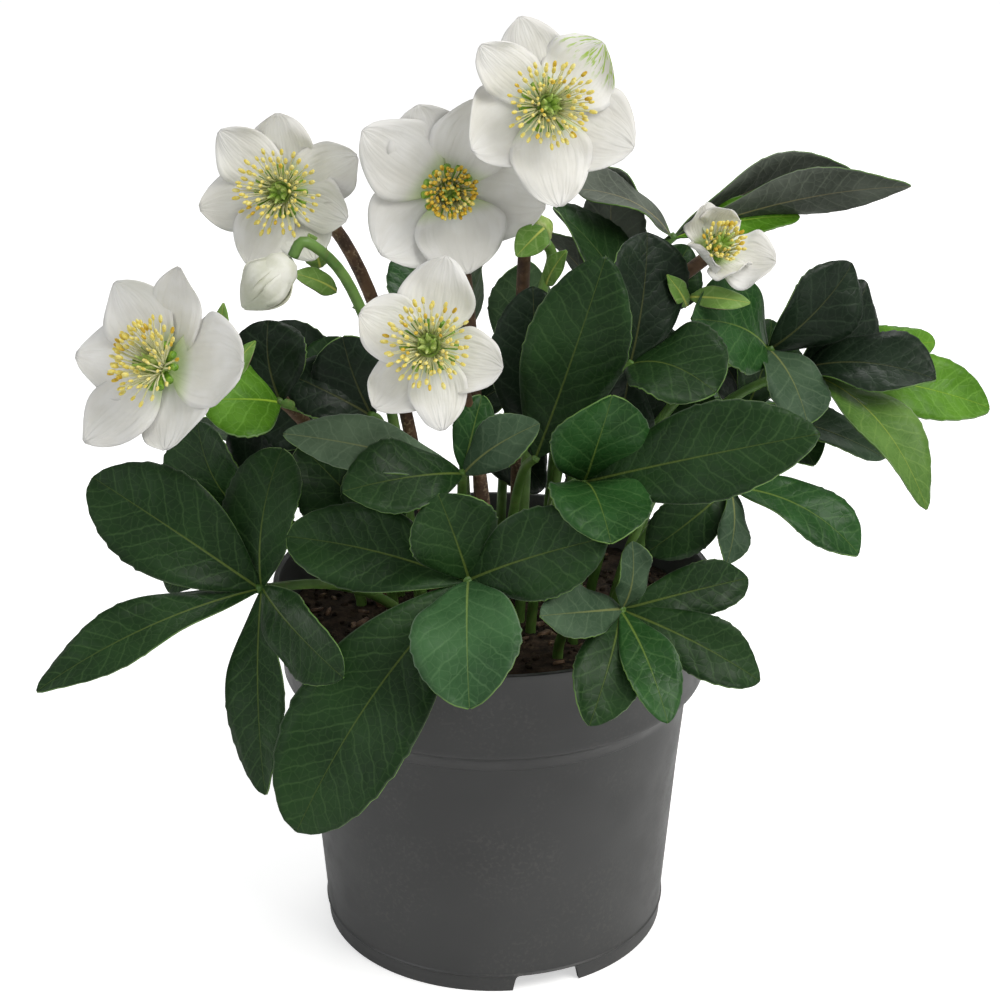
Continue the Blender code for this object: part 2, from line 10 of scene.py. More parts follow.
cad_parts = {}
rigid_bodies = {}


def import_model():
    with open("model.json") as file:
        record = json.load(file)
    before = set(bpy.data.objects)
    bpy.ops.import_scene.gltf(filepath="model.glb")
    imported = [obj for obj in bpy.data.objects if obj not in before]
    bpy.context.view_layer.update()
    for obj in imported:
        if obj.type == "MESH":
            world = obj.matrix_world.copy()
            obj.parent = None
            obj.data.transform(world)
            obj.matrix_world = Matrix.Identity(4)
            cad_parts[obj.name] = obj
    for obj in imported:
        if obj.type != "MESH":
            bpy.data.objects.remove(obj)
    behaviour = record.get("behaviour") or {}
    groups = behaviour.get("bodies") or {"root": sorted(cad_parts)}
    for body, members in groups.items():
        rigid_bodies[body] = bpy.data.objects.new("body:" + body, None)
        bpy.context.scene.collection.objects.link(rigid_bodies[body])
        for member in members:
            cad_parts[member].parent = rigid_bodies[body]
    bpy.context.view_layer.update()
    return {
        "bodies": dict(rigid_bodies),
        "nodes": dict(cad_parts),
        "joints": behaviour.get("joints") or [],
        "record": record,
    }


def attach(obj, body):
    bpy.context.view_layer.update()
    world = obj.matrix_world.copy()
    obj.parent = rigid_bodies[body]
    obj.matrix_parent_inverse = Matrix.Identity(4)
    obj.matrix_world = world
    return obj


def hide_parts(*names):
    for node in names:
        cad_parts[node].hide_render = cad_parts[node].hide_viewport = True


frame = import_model()
random.seed(7)


# Small helpers

def setUp(tree, kind, **values):
    made = tree.nodes.new(kind)
    for key, value in values.items():
        setattr(made, key, value)
    return made


def feed(tree, source, socket):
    if isinstance(source, bpy.types.NodeSocket):
        tree.links.new(source, socket)
    elif source is not None:
        if socket.type == "RGBA" and len(source) == 3:
            source = (*source, 1.0)
        socket.default_value = source


def mathNode(tree, operation, a, b=None, c=None, clamp=False):
    made = setUp(tree, "ShaderNodeMath", operation=operation, use_clamp=clamp)
    for value, socket in zip((a, b, c), made.inputs):
        feed(tree, value, socket)
    return made.outputs[0]


def ease(tree, value, low, high, start=0.0, end=1.0):
    made = setUp(tree, "ShaderNodeMapRange", interpolation_type="SMOOTHSTEP")
    feed(tree, value, made.inputs["Value"])
    made.inputs["From Min"].default_value = low
    made.inputs["From Max"].default_value = high
    made.inputs["To Min"].default_value = start
    made.inputs["To Max"].default_value = end
    return made.outputs["Result"]


def blendColour(tree, share, a, b):
    made = setUp(tree, "ShaderNodeMix", data_type="RGBA")
    feed(tree, share, made.inputs[0])
    feed(tree, a, made.inputs[6])
    feed(tree, b, made.inputs[7])
    return made.outputs[2]


def noiseAt(tree, vector, scale, detail=3.0, roughness=0.55):
    made = setUp(tree, "ShaderNodeTexNoise")
    feed(tree, vector, made.inputs["Vector"])
    made.inputs["Scale"].default_value = scale
    made.inputs["Detail"].default_value = detail
    made.inputs["Roughness"].default_value = roughness
    return made.outputs[0]


def startMaterial(name, roughness, specular=0.5):
    made = bpy.data.materials.new(name)
    made.use_nodes = True
    tree = made.node_tree
    shader = tree.nodes["Principled BSDF"]
    shader.inputs["Roughness"].default_value = roughness
    shader.inputs["Specular IOR Level"].default_value = specular
    return made, tree, shader


def bumpInto(tree, shader, height, distance, strength=1.0):
    made = setUp(tree, "ShaderNodeBump")
    made.inputs["Distance"].default_value = distance
    made.inputs["Strength"].default_value = strength
    feed(tree, height, made.inputs["Height"])
    tree.links.new(made.outputs[0], shader.inputs["Normal"])


# Shader groups shared by several finishes

def buildVeinGroup():
    # Rib, side veins, fine net and cut edge of a blade, from its two UV maps
    tree = bpy.data.node_groups.new("bladeVeins", "ShaderNodeTree")
    for name, value in (("Spacing", 0.75), ("Slant", 0.9), ("Rib Width", 0.06), ("Net Scale", 3.2)):
        socket = tree.interface.new_socket(name, in_out="INPUT", socket_type="NodeSocketFloat")
        socket.default_value = value
    for name in ("Rib", "Side", "Net", "Edge", "Puff", "Along"):
        tree.interface.new_socket(name, in_out="OUTPUT", socket_type="NodeSocketFloat")
    start = tree.nodes.new("NodeGroupInput")
    end = tree.nodes.new("NodeGroupOutput")
    share = setUp(tree, "ShaderNodeUVMap", uv_map="bladeShare")
    size = setUp(tree, "ShaderNodeUVMap", uv_map="bladeSize")
    shareParts = tree.nodes.new("ShaderNodeSeparateXYZ")
    sizeParts = tree.nodes.new("ShaderNodeSeparateXYZ")
    tree.links.new(share.outputs[0], shareParts.inputs[0])
    tree.links.new(size.outputs[0], sizeParts.inputs[0])
    across = mathNode(tree, "ABSOLUTE", mathNode(tree, "MULTIPLY_ADD", shareParts.outputs[0], 2.0, -1.0))
    along = shareParts.outputs[1]
    aside = mathNode(tree, "ABSOLUTE", sizeParts.outputs[0])
    wander = noiseAt(tree, size.outputs[0], 1.1, 2.0)
    up = mathNode(tree, "MULTIPLY_ADD", wander, 0.5, sizeParts.outputs[1])
    slope = mathNode(tree, "MULTIPLY", aside, start.outputs["Slant"])
    place = mathNode(tree, "DIVIDE", mathNode(tree, "SUBTRACT", up, slope), start.outputs["Spacing"])
    # the two halves' side veins leave the rib at different places
    sideSign = mathNode(tree, "GREATER_THAN", sizeParts.outputs[0], 0.0)
    place = mathNode(tree, "MULTIPLY_ADD", sideSign, 0.37, place)
    part = mathNode(tree, "FRACT", place)
    near = mathNode(tree, "MINIMUM", part, mathNode(tree, "SUBTRACT", 1.0, part))
    side = ease(tree, near, 0.015, 0.085, 1.0, 0.0)
    side = mathNode(tree, "MULTIPLY", side, ease(tree, across, 0.75, 1.0, 1.0, 0.15))
    taper = mathNode(tree, "MULTIPLY_ADD", along, -0.75, 1.0)
    ribHalf = mathNode(tree, "MULTIPLY", start.outputs["Rib Width"], taper)
    ribShare = mathNode(tree, "DIVIDE", aside, ribHalf)
    rib = ease(tree, ribShare, 0.45, 1.1, 1.0, 0.0)
    cells = setUp(tree, "ShaderNodeTexVoronoi", feature="DISTANCE_TO_EDGE", voronoi_dimensions="2D")
    tree.links.new(size.outputs[0], cells.inputs["Vector"])
    tree.links.new(start.outputs["Net Scale"], cells.inputs["Scale"])
    net = ease(tree, cells.outputs["Distance"], 0.0, 0.11, 1.0, 0.0)
    puff = ease(tree, cells.outputs["Distance"], 0.0, 0.35)
    pillow = mathNode(tree, "MULTIPLY", ease(tree, near, 0.0, 0.5), 1.1)
    puff = mathNode(tree, "MULTIPLY_ADD", puff, 0.25, pillow)
    edge = ease(tree, across, 0.965, 0.995)
    for name, value in (("Rib", rib), ("Side", side), ("Net", net), ("Edge", edge), ("Puff", puff), ("Along", along)):
        tree.links.new(value, end.inputs[name])
    return tree


def buildSpeckGroup():
    # Small dust or flecks that gather unevenly over a surface
    tree = bpy.data.node_groups.new("unevenSpecks", "ShaderNodeTree")
    for name, value in (("Scale", 900.0), ("Patch Scale", 30.0), ("Amount", 0.5)):
        socket = tree.interface.new_socket(name, in_out="INPUT", socket_type="NodeSocketFloat")
        socket.default_value = value
    tree.interface.new_socket("Specks", in_out="OUTPUT", socket_type="NodeSocketFloat")
    start = tree.nodes.new("NodeGroupInput")
    end = tree.nodes.new("NodeGroupOutput")
    coords = tree.nodes.new("ShaderNodeTexCoord").outputs["Object"]
    parts = []
    for name, low, high in (("Scale", 0.5, 0.68), ("Patch Scale", 0.38, 0.66)):
        grain = setUp(tree, "ShaderNodeTexNoise")
        tree.links.new(coords, grain.inputs["Vector"])
        tree.links.new(start.outputs[name], grain.inputs["Scale"])
        parts.append(ease(tree, grain.outputs[0], low, high))
    both = mathNode(tree, "MULTIPLY", *parts)
    result = mathNode(tree, "MULTIPLY", both, start.outputs["Amount"], clamp=True)
    tree.links.new(result, end.inputs["Specks"])
    return tree


veinGroup = buildVeinGroup()
speckGroup = buildSpeckGroup()


def veinsIn(tree, **values):
    made = setUp(tree, "ShaderNodeGroup", node_tree=veinGroup)
    for name, value in values.items():
        made.inputs[name].default_value = value
    return made.outputs


def specksIn(tree, scale, patchScale, amount):
    made = setUp(tree, "ShaderNodeGroup", node_tree=speckGroup)
    made.inputs["Scale"].default_value = scale
    made.inputs["Patch Scale"].default_value = patchScale
    made.inputs["Amount"].default_value = amount
    return made.outputs["Specks"]


# Leaf finishes

# dark, deep, mid and bright are one leaf green in shaded and lit copies, set per leaflet: partly the leaflets' own
# greens, partly painted light and shade, with dark as painted shade and bright as painted backlight
leafTones = {
    # deep colour, light colour, vein colour, roughness
    "deep": ((0.0085, 0.030, 0.0062), (0.018, 0.054, 0.0125), (0.058, 0.120, 0.036), 0.44),
    "mid": ((0.013, 0.052, 0.0100), (0.030, 0.100, 0.0240), (0.090, 0.190, 0.058), 0.36),
    "misty": ((0.027, 0.080, 0.0260), (0.055, 0.140, 0.0500), (0.110, 0.220, 0.090), 0.46),
    "bright": ((0.060, 0.175, 0.0085), (0.125, 0.305, 0.022), (0.200, 0.420, 0.060), 0.42),
    "fresh": ((0.070, 0.160, 0.0250), (0.150, 0.280, 0.060), (0.200, 0.330, 0.075), 0.45),
    "grey": ((0.034, 0.072, 0.0350), (0.070, 0.122, 0.066), (0.125, 0.190, 0.105), 0.55),
    "dark": ((0.0055, 0.014, 0.0060), (0.014, 0.029, 0.0140), (0.040, 0.066, 0.036), 0.40),
    "ash": ((0.060, 0.105, 0.0560), (0.115, 0.175, 0.102), (0.170, 0.240, 0.145), 0.60),
    # slate is a pale underside colour, lightened for the leaf_top leaflets: partly their own colour, partly painted
    # light
    "slate": ((0.060, 0.072, 0.0560), (0.125, 0.145, 0.1150), (0.190, 0.220, 0.165), 0.65),
    "under": ((0.026, 0.058, 0.0220), (0.052, 0.100, 0.042), (0.110, 0.185, 0.075), 0.60),
    "bract": ((0.110, 0.240, 0.035), (0.220, 0.370, 0.090), (0.320, 0.460, 0.150), 0.45),
}


# how strongly each marking shows on a leaf, and how deep its relief is in metres
leafMarks = {"specular": 0.20, "patchScale": 38.0, "grainScale": 700.0, "grain": 0.22, "net": 0.20, "side": 0.38,
             "edge": 0.38, "relief": 0.00018}
paleBelow = ("under", "grey", "ash", "slate")  # tones whose veins stand out instead of lying sunk


def leafMaterial(name):
    deep, light, vein, roughness = leafTones[name]
    marks = leafMarks
    made, tree, shader = startMaterial("leaf" + name.capitalize(), roughness, marks["specular"])
    veins = veinsIn(tree)
    coords = tree.nodes.new("ShaderNodeTexCoord").outputs["Object"]
    patch = ease(tree, noiseAt(tree, coords, marks["patchScale"], 4.0), 0.36, 0.68)
    colour = blendColour(tree, patch, deep, light)
    grain = noiseAt(tree, coords, marks["grainScale"], 2.0)
    grains = mathNode(tree, "MULTIPLY", ease(tree, grain, 0.3, 0.7), marks["grain"])
    colour = blendColour(tree, grains, colour, light)
    colour = blendColour(tree, mathNode(tree, "MULTIPLY", veins["Net"], marks["net"]), colour, vein)
    colour = blendColour(tree, mathNode(tree, "MULTIPLY", veins["Side"], marks["side"]), colour, vein)
    paler = [vein[0] * 1.9 + 0.01, vein[1] * 1.45, vein[2] * 0.9]
    # the rib is palest near the hub and fades towards the tip
    ribShare = mathNode(tree, "MULTIPLY", veins["Rib"], ease(tree, veins["Along"], 0.05, 0.85, 0.85, 0.35))
    colour = blendColour(tree, ribShare, colour, paler)
    pale = [min(1.0, sum(vein) * 0.45 + part * 0.5) for part in vein]
    colour = blendColour(tree, mathNode(tree, "MULTIPLY", veins["Edge"], marks["edge"]), colour, pale)
    tree.links.new(colour, shader.inputs["Base Color"])
    gloss = ease(tree, noiseAt(tree, coords, 120.0, 3.0), 0.3, 0.7, roughness - 0.06, roughness + 0.1)
    tree.links.new(gloss, shader.inputs["Roughness"])
    lines = mathNode(tree, "MULTIPLY_ADD", veins["Rib"], 1.1, mathNode(tree, "MULTIPLY", veins["Net"], 0.25))
    way = 1.0 if name in paleBelow else -1.0
    height = mathNode(tree, "MULTIPLY_ADD", lines, way, mathNode(tree, "MULTIPLY", veins["Puff"], -way))
    height = mathNode(tree, "MULTIPLY_ADD", grain, 0.12, height)
    bumpInto(tree, shader, height, marks["relief"], 0.7)
    return made


leafFinishes = {name: leafMaterial(name) for name in leafTones}
print("leaf finishes ready")


def sepalMaterial(name, flushed):
    made, tree, shader = startMaterial(name, 0.55, 0.3)
    veins = veinsIn(tree, **{"Rib Width": 0.05, "Spacing": 0.5, "Slant": 2.2})
    share = setUp(tree, "ShaderNodeUVMap", uv_map="bladeShare")
    parts = tree.nodes.new("ShaderNodeSeparateXYZ")
    tree.links.new(share.outputs[0], parts.inputs[0])
    coords = tree.nodes.new("ShaderNodeTexCoord").outputs["Object"]
    soft = noiseAt(tree, coords, 60.0, 3.0)
    # veins run lengthways and wander a little; long soft creases lie between them, and their troughs are greyed with
    # painted shade
    lanes = mathNode(tree, "MULTIPLY_ADD", soft, 2.2, mathNode(tree, "MULTIPLY", parts.outputs[0], 9.0))
    lane = mathNode(tree, "FRACT", lanes)
    line = ease(tree, mathNode(tree, "MINIMUM", lane, mathNode(tree, "SUBTRACT", 1.0, lane)), 0.0, 0.13, 1.0, 0.0)
    stretch = setUp(tree, "ShaderNodeMapping")
    stretch.inputs["Scale"].default_value = (5.0, 1.1, 1.0)
    tree.links.new(share.outputs[0], stretch.inputs["Vector"])
    foldsAndShade = noiseAt(tree, stretch.outputs[0], 1.3, 2.0)
    colour = blendColour(tree, ease(tree, soft, 0.35, 0.65), (0.79, 0.78, 0.735), (0.88, 0.875, 0.85))
    # painted shade: the white greys towards (0.66, 0.64, 0.58) in the troughs of the creases
    colour = blendColour(tree, ease(tree, foldsAndShade, 0.34, 0.6, 0.22, 0.0), colour, (0.66, 0.64, 0.58))
    colour = blendColour(tree, mathNode(tree, "MULTIPLY", line, 0.045), colour, (0.60, 0.62, 0.52))
    base = ease(tree, veins["Along"], 0.05, 0.32, 0.8, 0.0)
    colour = blendColour(tree, base, colour, (0.50, 0.66, 0.20))
    flush = mathNode(tree, "MULTIPLY", ease(tree, noiseAt(tree, coords, 22.0, 1.0), 0.56, 0.78), 0.14)
    colour = blendColour(tree, flush, colour, (0.72, 0.80, 0.48))
    if flushed:
        streaks = ease(tree, noiseAt(tree, stretch.outputs[0], 4.2, 4.0), 0.50, 0.60)
        outer = ease(tree, veins["Along"], 0.55, 0.78)
        colour = blendColour(tree, mathNode(tree, "MULTIPLY", streaks, outer), colour, (0.42, 0.62, 0.09))
    tree.links.new(colour, shader.inputs["Base Color"])
    shader.inputs["Sheen Weight"].default_value = 0.15
    height = mathNode(tree, "MULTIPLY_ADD", line, -0.07, mathNode(tree, "MULTIPLY", foldsAndShade, 2.4))
    height = mathNode(tree, "MULTIPLY_ADD", noiseAt(tree, coords, 240.0, 3.0), 0.35, height)
    bumpInto(tree, shader, height, 0.00055, 0.7)
    return made


def plainOrganic(name, low, high, roughness, scale, bump=0.0002, fleck=None, fleckShare=0.0):
    made, tree, shader = startMaterial(name, roughness, 0.4)
    coords = tree.nodes.new("ShaderNodeTexCoord").outputs["Object"]
    patch = noiseAt(tree, coords, scale, 4.0)
    colour = blendColour(tree, ease(tree, patch, 0.34, 0.66), low, high)
    if fleck:
        colour = blendColour(tree, specksIn(tree, scale * 6.0, scale * 0.8, fleckShare), colour, fleck)
    tree.links.new(colour, shader.inputs["Base Color"])
    bumpInto(tree, shader, noiseAt(tree, coords, scale * 5.0, 3.0), bump, 0.7)
    return made


def potMaterial():
    made, tree, shader = startMaterial("potPlastic", 0.38, 0.5)
    coords = tree.nodes.new("ShaderNodeTexCoord").outputs["Object"]
    broad = noiseAt(tree, coords, 9.0, 3.0)
    colour = blendColour(tree, ease(tree, broad, 0.3, 0.7), (0.040, 0.041, 0.041), (0.056, 0.057, 0.057))
    dust = specksIn(tree, 700.0, 26.0, 0.22)
    colour = blendColour(tree, dust, colour, (0.14, 0.135, 0.12))
    tree.links.new(colour, shader.inputs["Base Color"])
    fine = noiseAt(tree, coords, 1500.0, 2.0)
    rough = mathNode(tree, "MULTIPLY_ADD", ease(tree, noiseAt(tree, coords, 60.0, 4.0), 0.3, 0.7), 0.12, 0.34)
    rough = mathNode(tree, "MULTIPLY_ADD", dust, 0.4, rough)
    tree.links.new(rough, shader.inputs["Roughness"])
    # faint drag lines round the wall, as a mould leaves them
    stretch = setUp(tree, "ShaderNodeMapping")
    stretch.inputs["Scale"].default_value = (6.0, 6.0, 420.0)
    tree.links.new(coords, stretch.inputs["Vector"])
    drag = noiseAt(tree, stretch.outputs[0], 1.0, 2.0)
    height = mathNode(tree, "MULTIPLY_ADD", drag, 0.5, mathNode(tree, "MULTIPLY", fine, 0.35))
    bumpInto(tree, shader, height, 0.00012, 0.6)
    return made


def soilMaterial():
    made, tree, shader = startMaterial("darkCompost", 0.95, 0.2)
    coords = tree.nodes.new("ShaderNodeTexCoord").outputs["Object"]
    clods = noiseAt(tree, coords, 160.0, 6.0, 0.7)
    colour = blendColour(tree, ease(tree, clods, 0.35, 0.68), (0.010, 0.007, 0.005), (0.060, 0.040, 0.026))
    colour = blendColour(tree, specksIn(tree, 500.0, 60.0, 0.6), colour, (0.13, 0.095, 0.06))
    tree.links.new(colour, shader.inputs["Base Color"])
    bumpInto(tree, shader, clods, 0.0016, 0.9)
    return made


plainLooks = {
    # dark colour, light colour, roughness, noise scale, relief in metres, fleck colour and share
    "budWhite": ((0.70, 0.71, 0.58), (0.84, 0.84, 0.76), 0.5, 130.0),
    "stalkGreen": ((0.075, 0.170, 0.030), (0.150, 0.280, 0.060), 0.42, 90.0, 0.0002, (0.20, 0.12, 0.07), 0.25),
    "stalkWoody": ((0.060, 0.031, 0.018), (0.170, 0.095, 0.050), 0.55, 140.0, 0.0004, (0.33, 0.24, 0.14), 0.9),
    # the nectaries' dark green is partly their own colour and partly painted shade for the shadows between the stamen
    # threads
    "nectaryGreen": ((0.090, 0.240, 0.015), (0.290, 0.480, 0.045), 0.35, 300.0),
    "carpelGreen": ((0.330, 0.520, 0.090), (0.560, 0.660, 0.240), 0.40, 300.0),
    "threadCream": ((0.76, 0.76, 0.38), (0.90, 0.88, 0.64), 0.5, 300.0),
    "antherYellow": ((0.86, 0.69, 0.110), (0.95, 0.87, 0.34), 0.75, 700.0, 0.0003),
    "antherAmber": ((0.60, 0.37, 0.020), (0.85, 0.62, 0.08), 0.75, 700.0, 0.0003),
}

sepalFinish = sepalMaterial("sepalWhite", False)
sepalFlushed = sepalMaterial("sepalFlushed", True)
plain = {name: plainOrganic(name, *look) for name, look in plainLooks.items()}
potFinish = potMaterial()
soilFinish = soilMaterial()
print("other finishes ready")


# Shapes, all in millimetres until a piece is finished

toMetres = (0.001, 0.001, 0.001)


def startPiece():
    bm = bmesh.new()
    bm.loops.layers.uv.new("bladeShare")
    bm.loops.layers.uv.new("bladeSize")
    return bm


def finishPiece(bm, name, finishes, nodes):
    bmesh.ops.scale(bm, verts=bm.verts, vec=toMetres)
    for face in bm.faces:
        face.smooth = True
    mesh = bpy.data.meshes.new(name)
    bm.to_mesh(mesh)
    bm.free()
    for finish in finishes:
        mesh.materials.append(finish)
    piece = bpy.data.objects.new(name, mesh)
    bpy.context.scene.collection.objects.link(piece)
    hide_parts(*nodes)
    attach(piece, "root")
    return piece


def camelName(node):
    words = node.split("_")
    return words[0] + "".join(word.capitalize() for word in words[1:])


def onCurve(p0, p1, p2, t):
    return p0 * (1 - t) ** 2 + p1 * 2 * t * (1 - t) + p2 * t ** 2


def gridFaces(verts):
    return list({face for vert in verts for face in vert.link_faces})


# rows and columns of a blade's grid, its thickness and waves, and its outline: power moves
# the widest place towards the tip, blunt rounds the ends, base is half the width at the root
leafCut = {"lengthwise": 48, "crosswise": 8, "thickness": 0.5, "fold": 0.19, "wave": 2.0, "toothDepth": 0.026,
           "toothFrom": 0.55, "power": 1.35, "blunt": 0.62, "base": 1.1}
sepalCut = {"lengthwise": 20, "crosswise": 14, "thickness": 0.32, "fold": 0.05, "wave": 1.5, "ragged": 0.07,
            "power": 1.0, "blunt": 0.62, "base": 2.6}
bractCut = {**sepalCut, "power": 0.9, "blunt": 0.7, "base": 1.0}
budCut = {"lengthwise": 16, "crosswise": 10, "thickness": 0.35, "fold": 0.5, "wave": 0.3,
          "power": 0.9, "blunt": 0.6, "base": 1.5}
toothSteps = (-0.3, 0.1, 0.5, 1.0)


def addBlade(bm, root, tip, width, arch, roll, face, cut, top, under):
    # A blade is a flat grid bent along its rib, then given a thickness
    root, tip, face = Vector(root), Vector(tip), Vector(face)
    straight = tip - root
    upper = (face - straight * face.dot(straight) / straight.length_squared).normalized()
    upper = Matrix.Rotation(math.radians(roll), 3, straight.normalized()) @ upper
    middle = (root + tip) / 2 + upper * arch * 2
    grid = bmesh.ops.create_grid(bm, x_segments=cut["crosswise"], y_segments=cut["lengthwise"], size=1.0)
    shareLayer = bm.loops.layers.uv["bladeShare"]
    sizeLayer = bm.loops.layers.uv["bladeSize"]
    phase, drift = random.uniform(0, 6.28), random.uniform(0.8, 1.3)
    lean = random.uniform(-0.35, 0.35)
    places = {}
    for vert in grid["verts"]:
        s, t = vert.co.x, (vert.co.y + 1) / 2
        here = onCurve(root, middle, tip, t)
        along = ((middle - root) * (1 - t) + (tip - middle) * t).normalized()
        across = along.cross(upper).normalized()
        normal = across.cross(along).normalized()
        swell = max(math.sin(math.pi * t ** cut["power"]), 0.0) ** cut["blunt"]
        half = max(width / 2 * swell, cut["base"] * (1 - 0.6 * t))
        row = round(t * cut["lengthwise"])
        if "ragged" in cut:
            half *= 1 + cut["ragged"] * math.sin(6.5 * t + phase * (1 + (s > 0))) * abs(s) ** 3
        if "toothDepth" in cut and t > cut["toothFrom"]:
            half *= 1 + cut["toothDepth"] * toothSteps[row % len(toothSteps)] * abs(s) ** 8
        bend = cut["fold"] * half * abs(s) ** 1.25
        ripple = cut["wave"] * s * s * math.sin(9.0 * drift * t + phase + 2.2 * s)
        ripple *= min(1.0, t * 2.5) * min(1, half / 6)  # calm near the root and on narrow blades
        sway = lean * math.sin(math.pi * t) * width * 0.12
        vert.co = here + across * (s * half + sway) + normal * (bend + ripple)
        places[vert] = (s, t, s * half / 10, t * straight.length / 10)
    faces = gridFaces(grid["verts"])
    for one in faces:
        for loop in one.loops:
            s, t, x, y = places[loop.vert]
            loop[shareLayer].uv = ((s + 1) / 2, t)
            loop[sizeLayer].uv = (x, y)
        one.normal_update()
    made = bmesh.ops.solidify(bm, geom=faces, thickness=cut["thickness"])
    both = set(faces) | {item for item in made["geom"] if isinstance(item, bmesh.types.BMFace)}
    for one in both:
        one.normal_update()
        one.material_index = top if one.normal.dot(upper) > 0 else under


def addTube(bm, points, radii, sides, finish, rings=None):
    # A round stalk: a flat grid rolled round the path, its seam merged and its ends closed
    path = [Vector(p) for p in points]
    if rings:
        path, radii = smoothPath(path, radii, rings)
    count = len(path) - 1
    grid = bmesh.ops.create_grid(bm, x_segments=sides, y_segments=count, size=1.0)
    side = None
    frames = []
    for i, here in enumerate(path):
        along = (path[min(i + 1, count)] - path[max(i - 1, 0)]).normalized()
        if side is None:
            side = along.orthogonal().normalized()
        side = (side - along * side.dot(along)).normalized()
        frames.append((here, side, along.cross(side)))
    for vert in grid["verts"]:
        turn = math.pi * (vert.co.x + 1)
        row = round((vert.co.y + 1) / 2 * count)
        here, side, other = frames[row]
        vert.co = here + (side * math.cos(turn) + other * math.sin(turn)) * radii[row]
    faces = gridFaces(grid["verts"])
    bmesh.ops.remove_doubles(bm, verts=grid["verts"], dist=1e-4)
    faces = [one for one in faces if one.is_valid]
    rim = list({edge for one in faces for edge in one.edges if edge.is_boundary})
    caps = bmesh.ops.holes_fill(bm, edges=rim, sides=0)["faces"]
    for one in faces + caps:
        one.material_index = finish
    bmesh.ops.recalc_face_normals(bm, faces=faces + caps)


def smoothPath(path, radii, rings):
    # More points on a Catmull-Rom curve through the given ones
    fine, wide = [], []
    last = len(path) - 1
    for k in range(rings + 1):
        place = k / rings * last
        i = min(int(place), last - 1)
        t = place - i
        p0, p1, p2, p3 = (path[max(0, min(last, i + d))] for d in (-1, 0, 1, 2))
        fine.append(0.5 * (2 * p1 + (p2 - p0) * t + (2 * p0 - 5 * p1 + 4 * p2 - p3) * t ** 2
                           + (3 * p1 - p0 - 3 * p2 + p3) * t ** 3))
        wide.append(radii[i] * (1 - t) + radii[i + 1] * t)
    return fine, wide


def addLathe(bm, profile, steps, finish=0):
    # A profile of radius and height spun round the upright axis
    verts = [bm.verts.new((r, 0, z)) for r, z in profile]
    edges = [bm.edges.new(pair) for pair in zip(verts, verts[1:])]
    if profile[0][0] > 0 and profile[-1][0] > 0:
        edges.append(bm.edges.new((verts[-1], verts[0])))
    made = bmesh.ops.spin(bm, geom=verts + edges, cent=(0, 0, 0), axis=(0, 0, 1),
                          angle=math.tau, steps=steps, use_merge=True)
    turned = {item for item in made["geom_last"] if isinstance(item, bmesh.types.BMVert)} | set(verts)
    faces = set()
    grow = list(turned)
    while grow:
        vert = grow.pop()
        for face in vert.link_faces:
            if face not in faces:
                faces.add(face)
                grow.extend(face.verts)
    verts = list({vert for face in faces for vert in face.verts})
    bmesh.ops.remove_doubles(bm, verts=verts, dist=1e-4)
    faces = [face for face in faces if face.is_valid]
    verts = list({vert for face in faces for vert in face.verts})
    bmesh.ops.recalc_face_normals(bm, faces=faces)
    for face in faces:
        face.material_index = finish
    return verts


soilTop = 130.0


def stalkPath(foot, top, steps=4):
    x, y = foot
    start = Vector((x, y, soilTop + 3.0))
    lean = Vector((x * 0.72 + top[0] * 0.28, y * 0.72 + top[1] * 0.28, top[2] * 0.9 + soilTop * 0.1))
    points = [Vector((x, y, soilTop - 14.0))]
    return points + [onCurve(start, lean, Vector(top), i / steps) for i in range(steps + 1)]
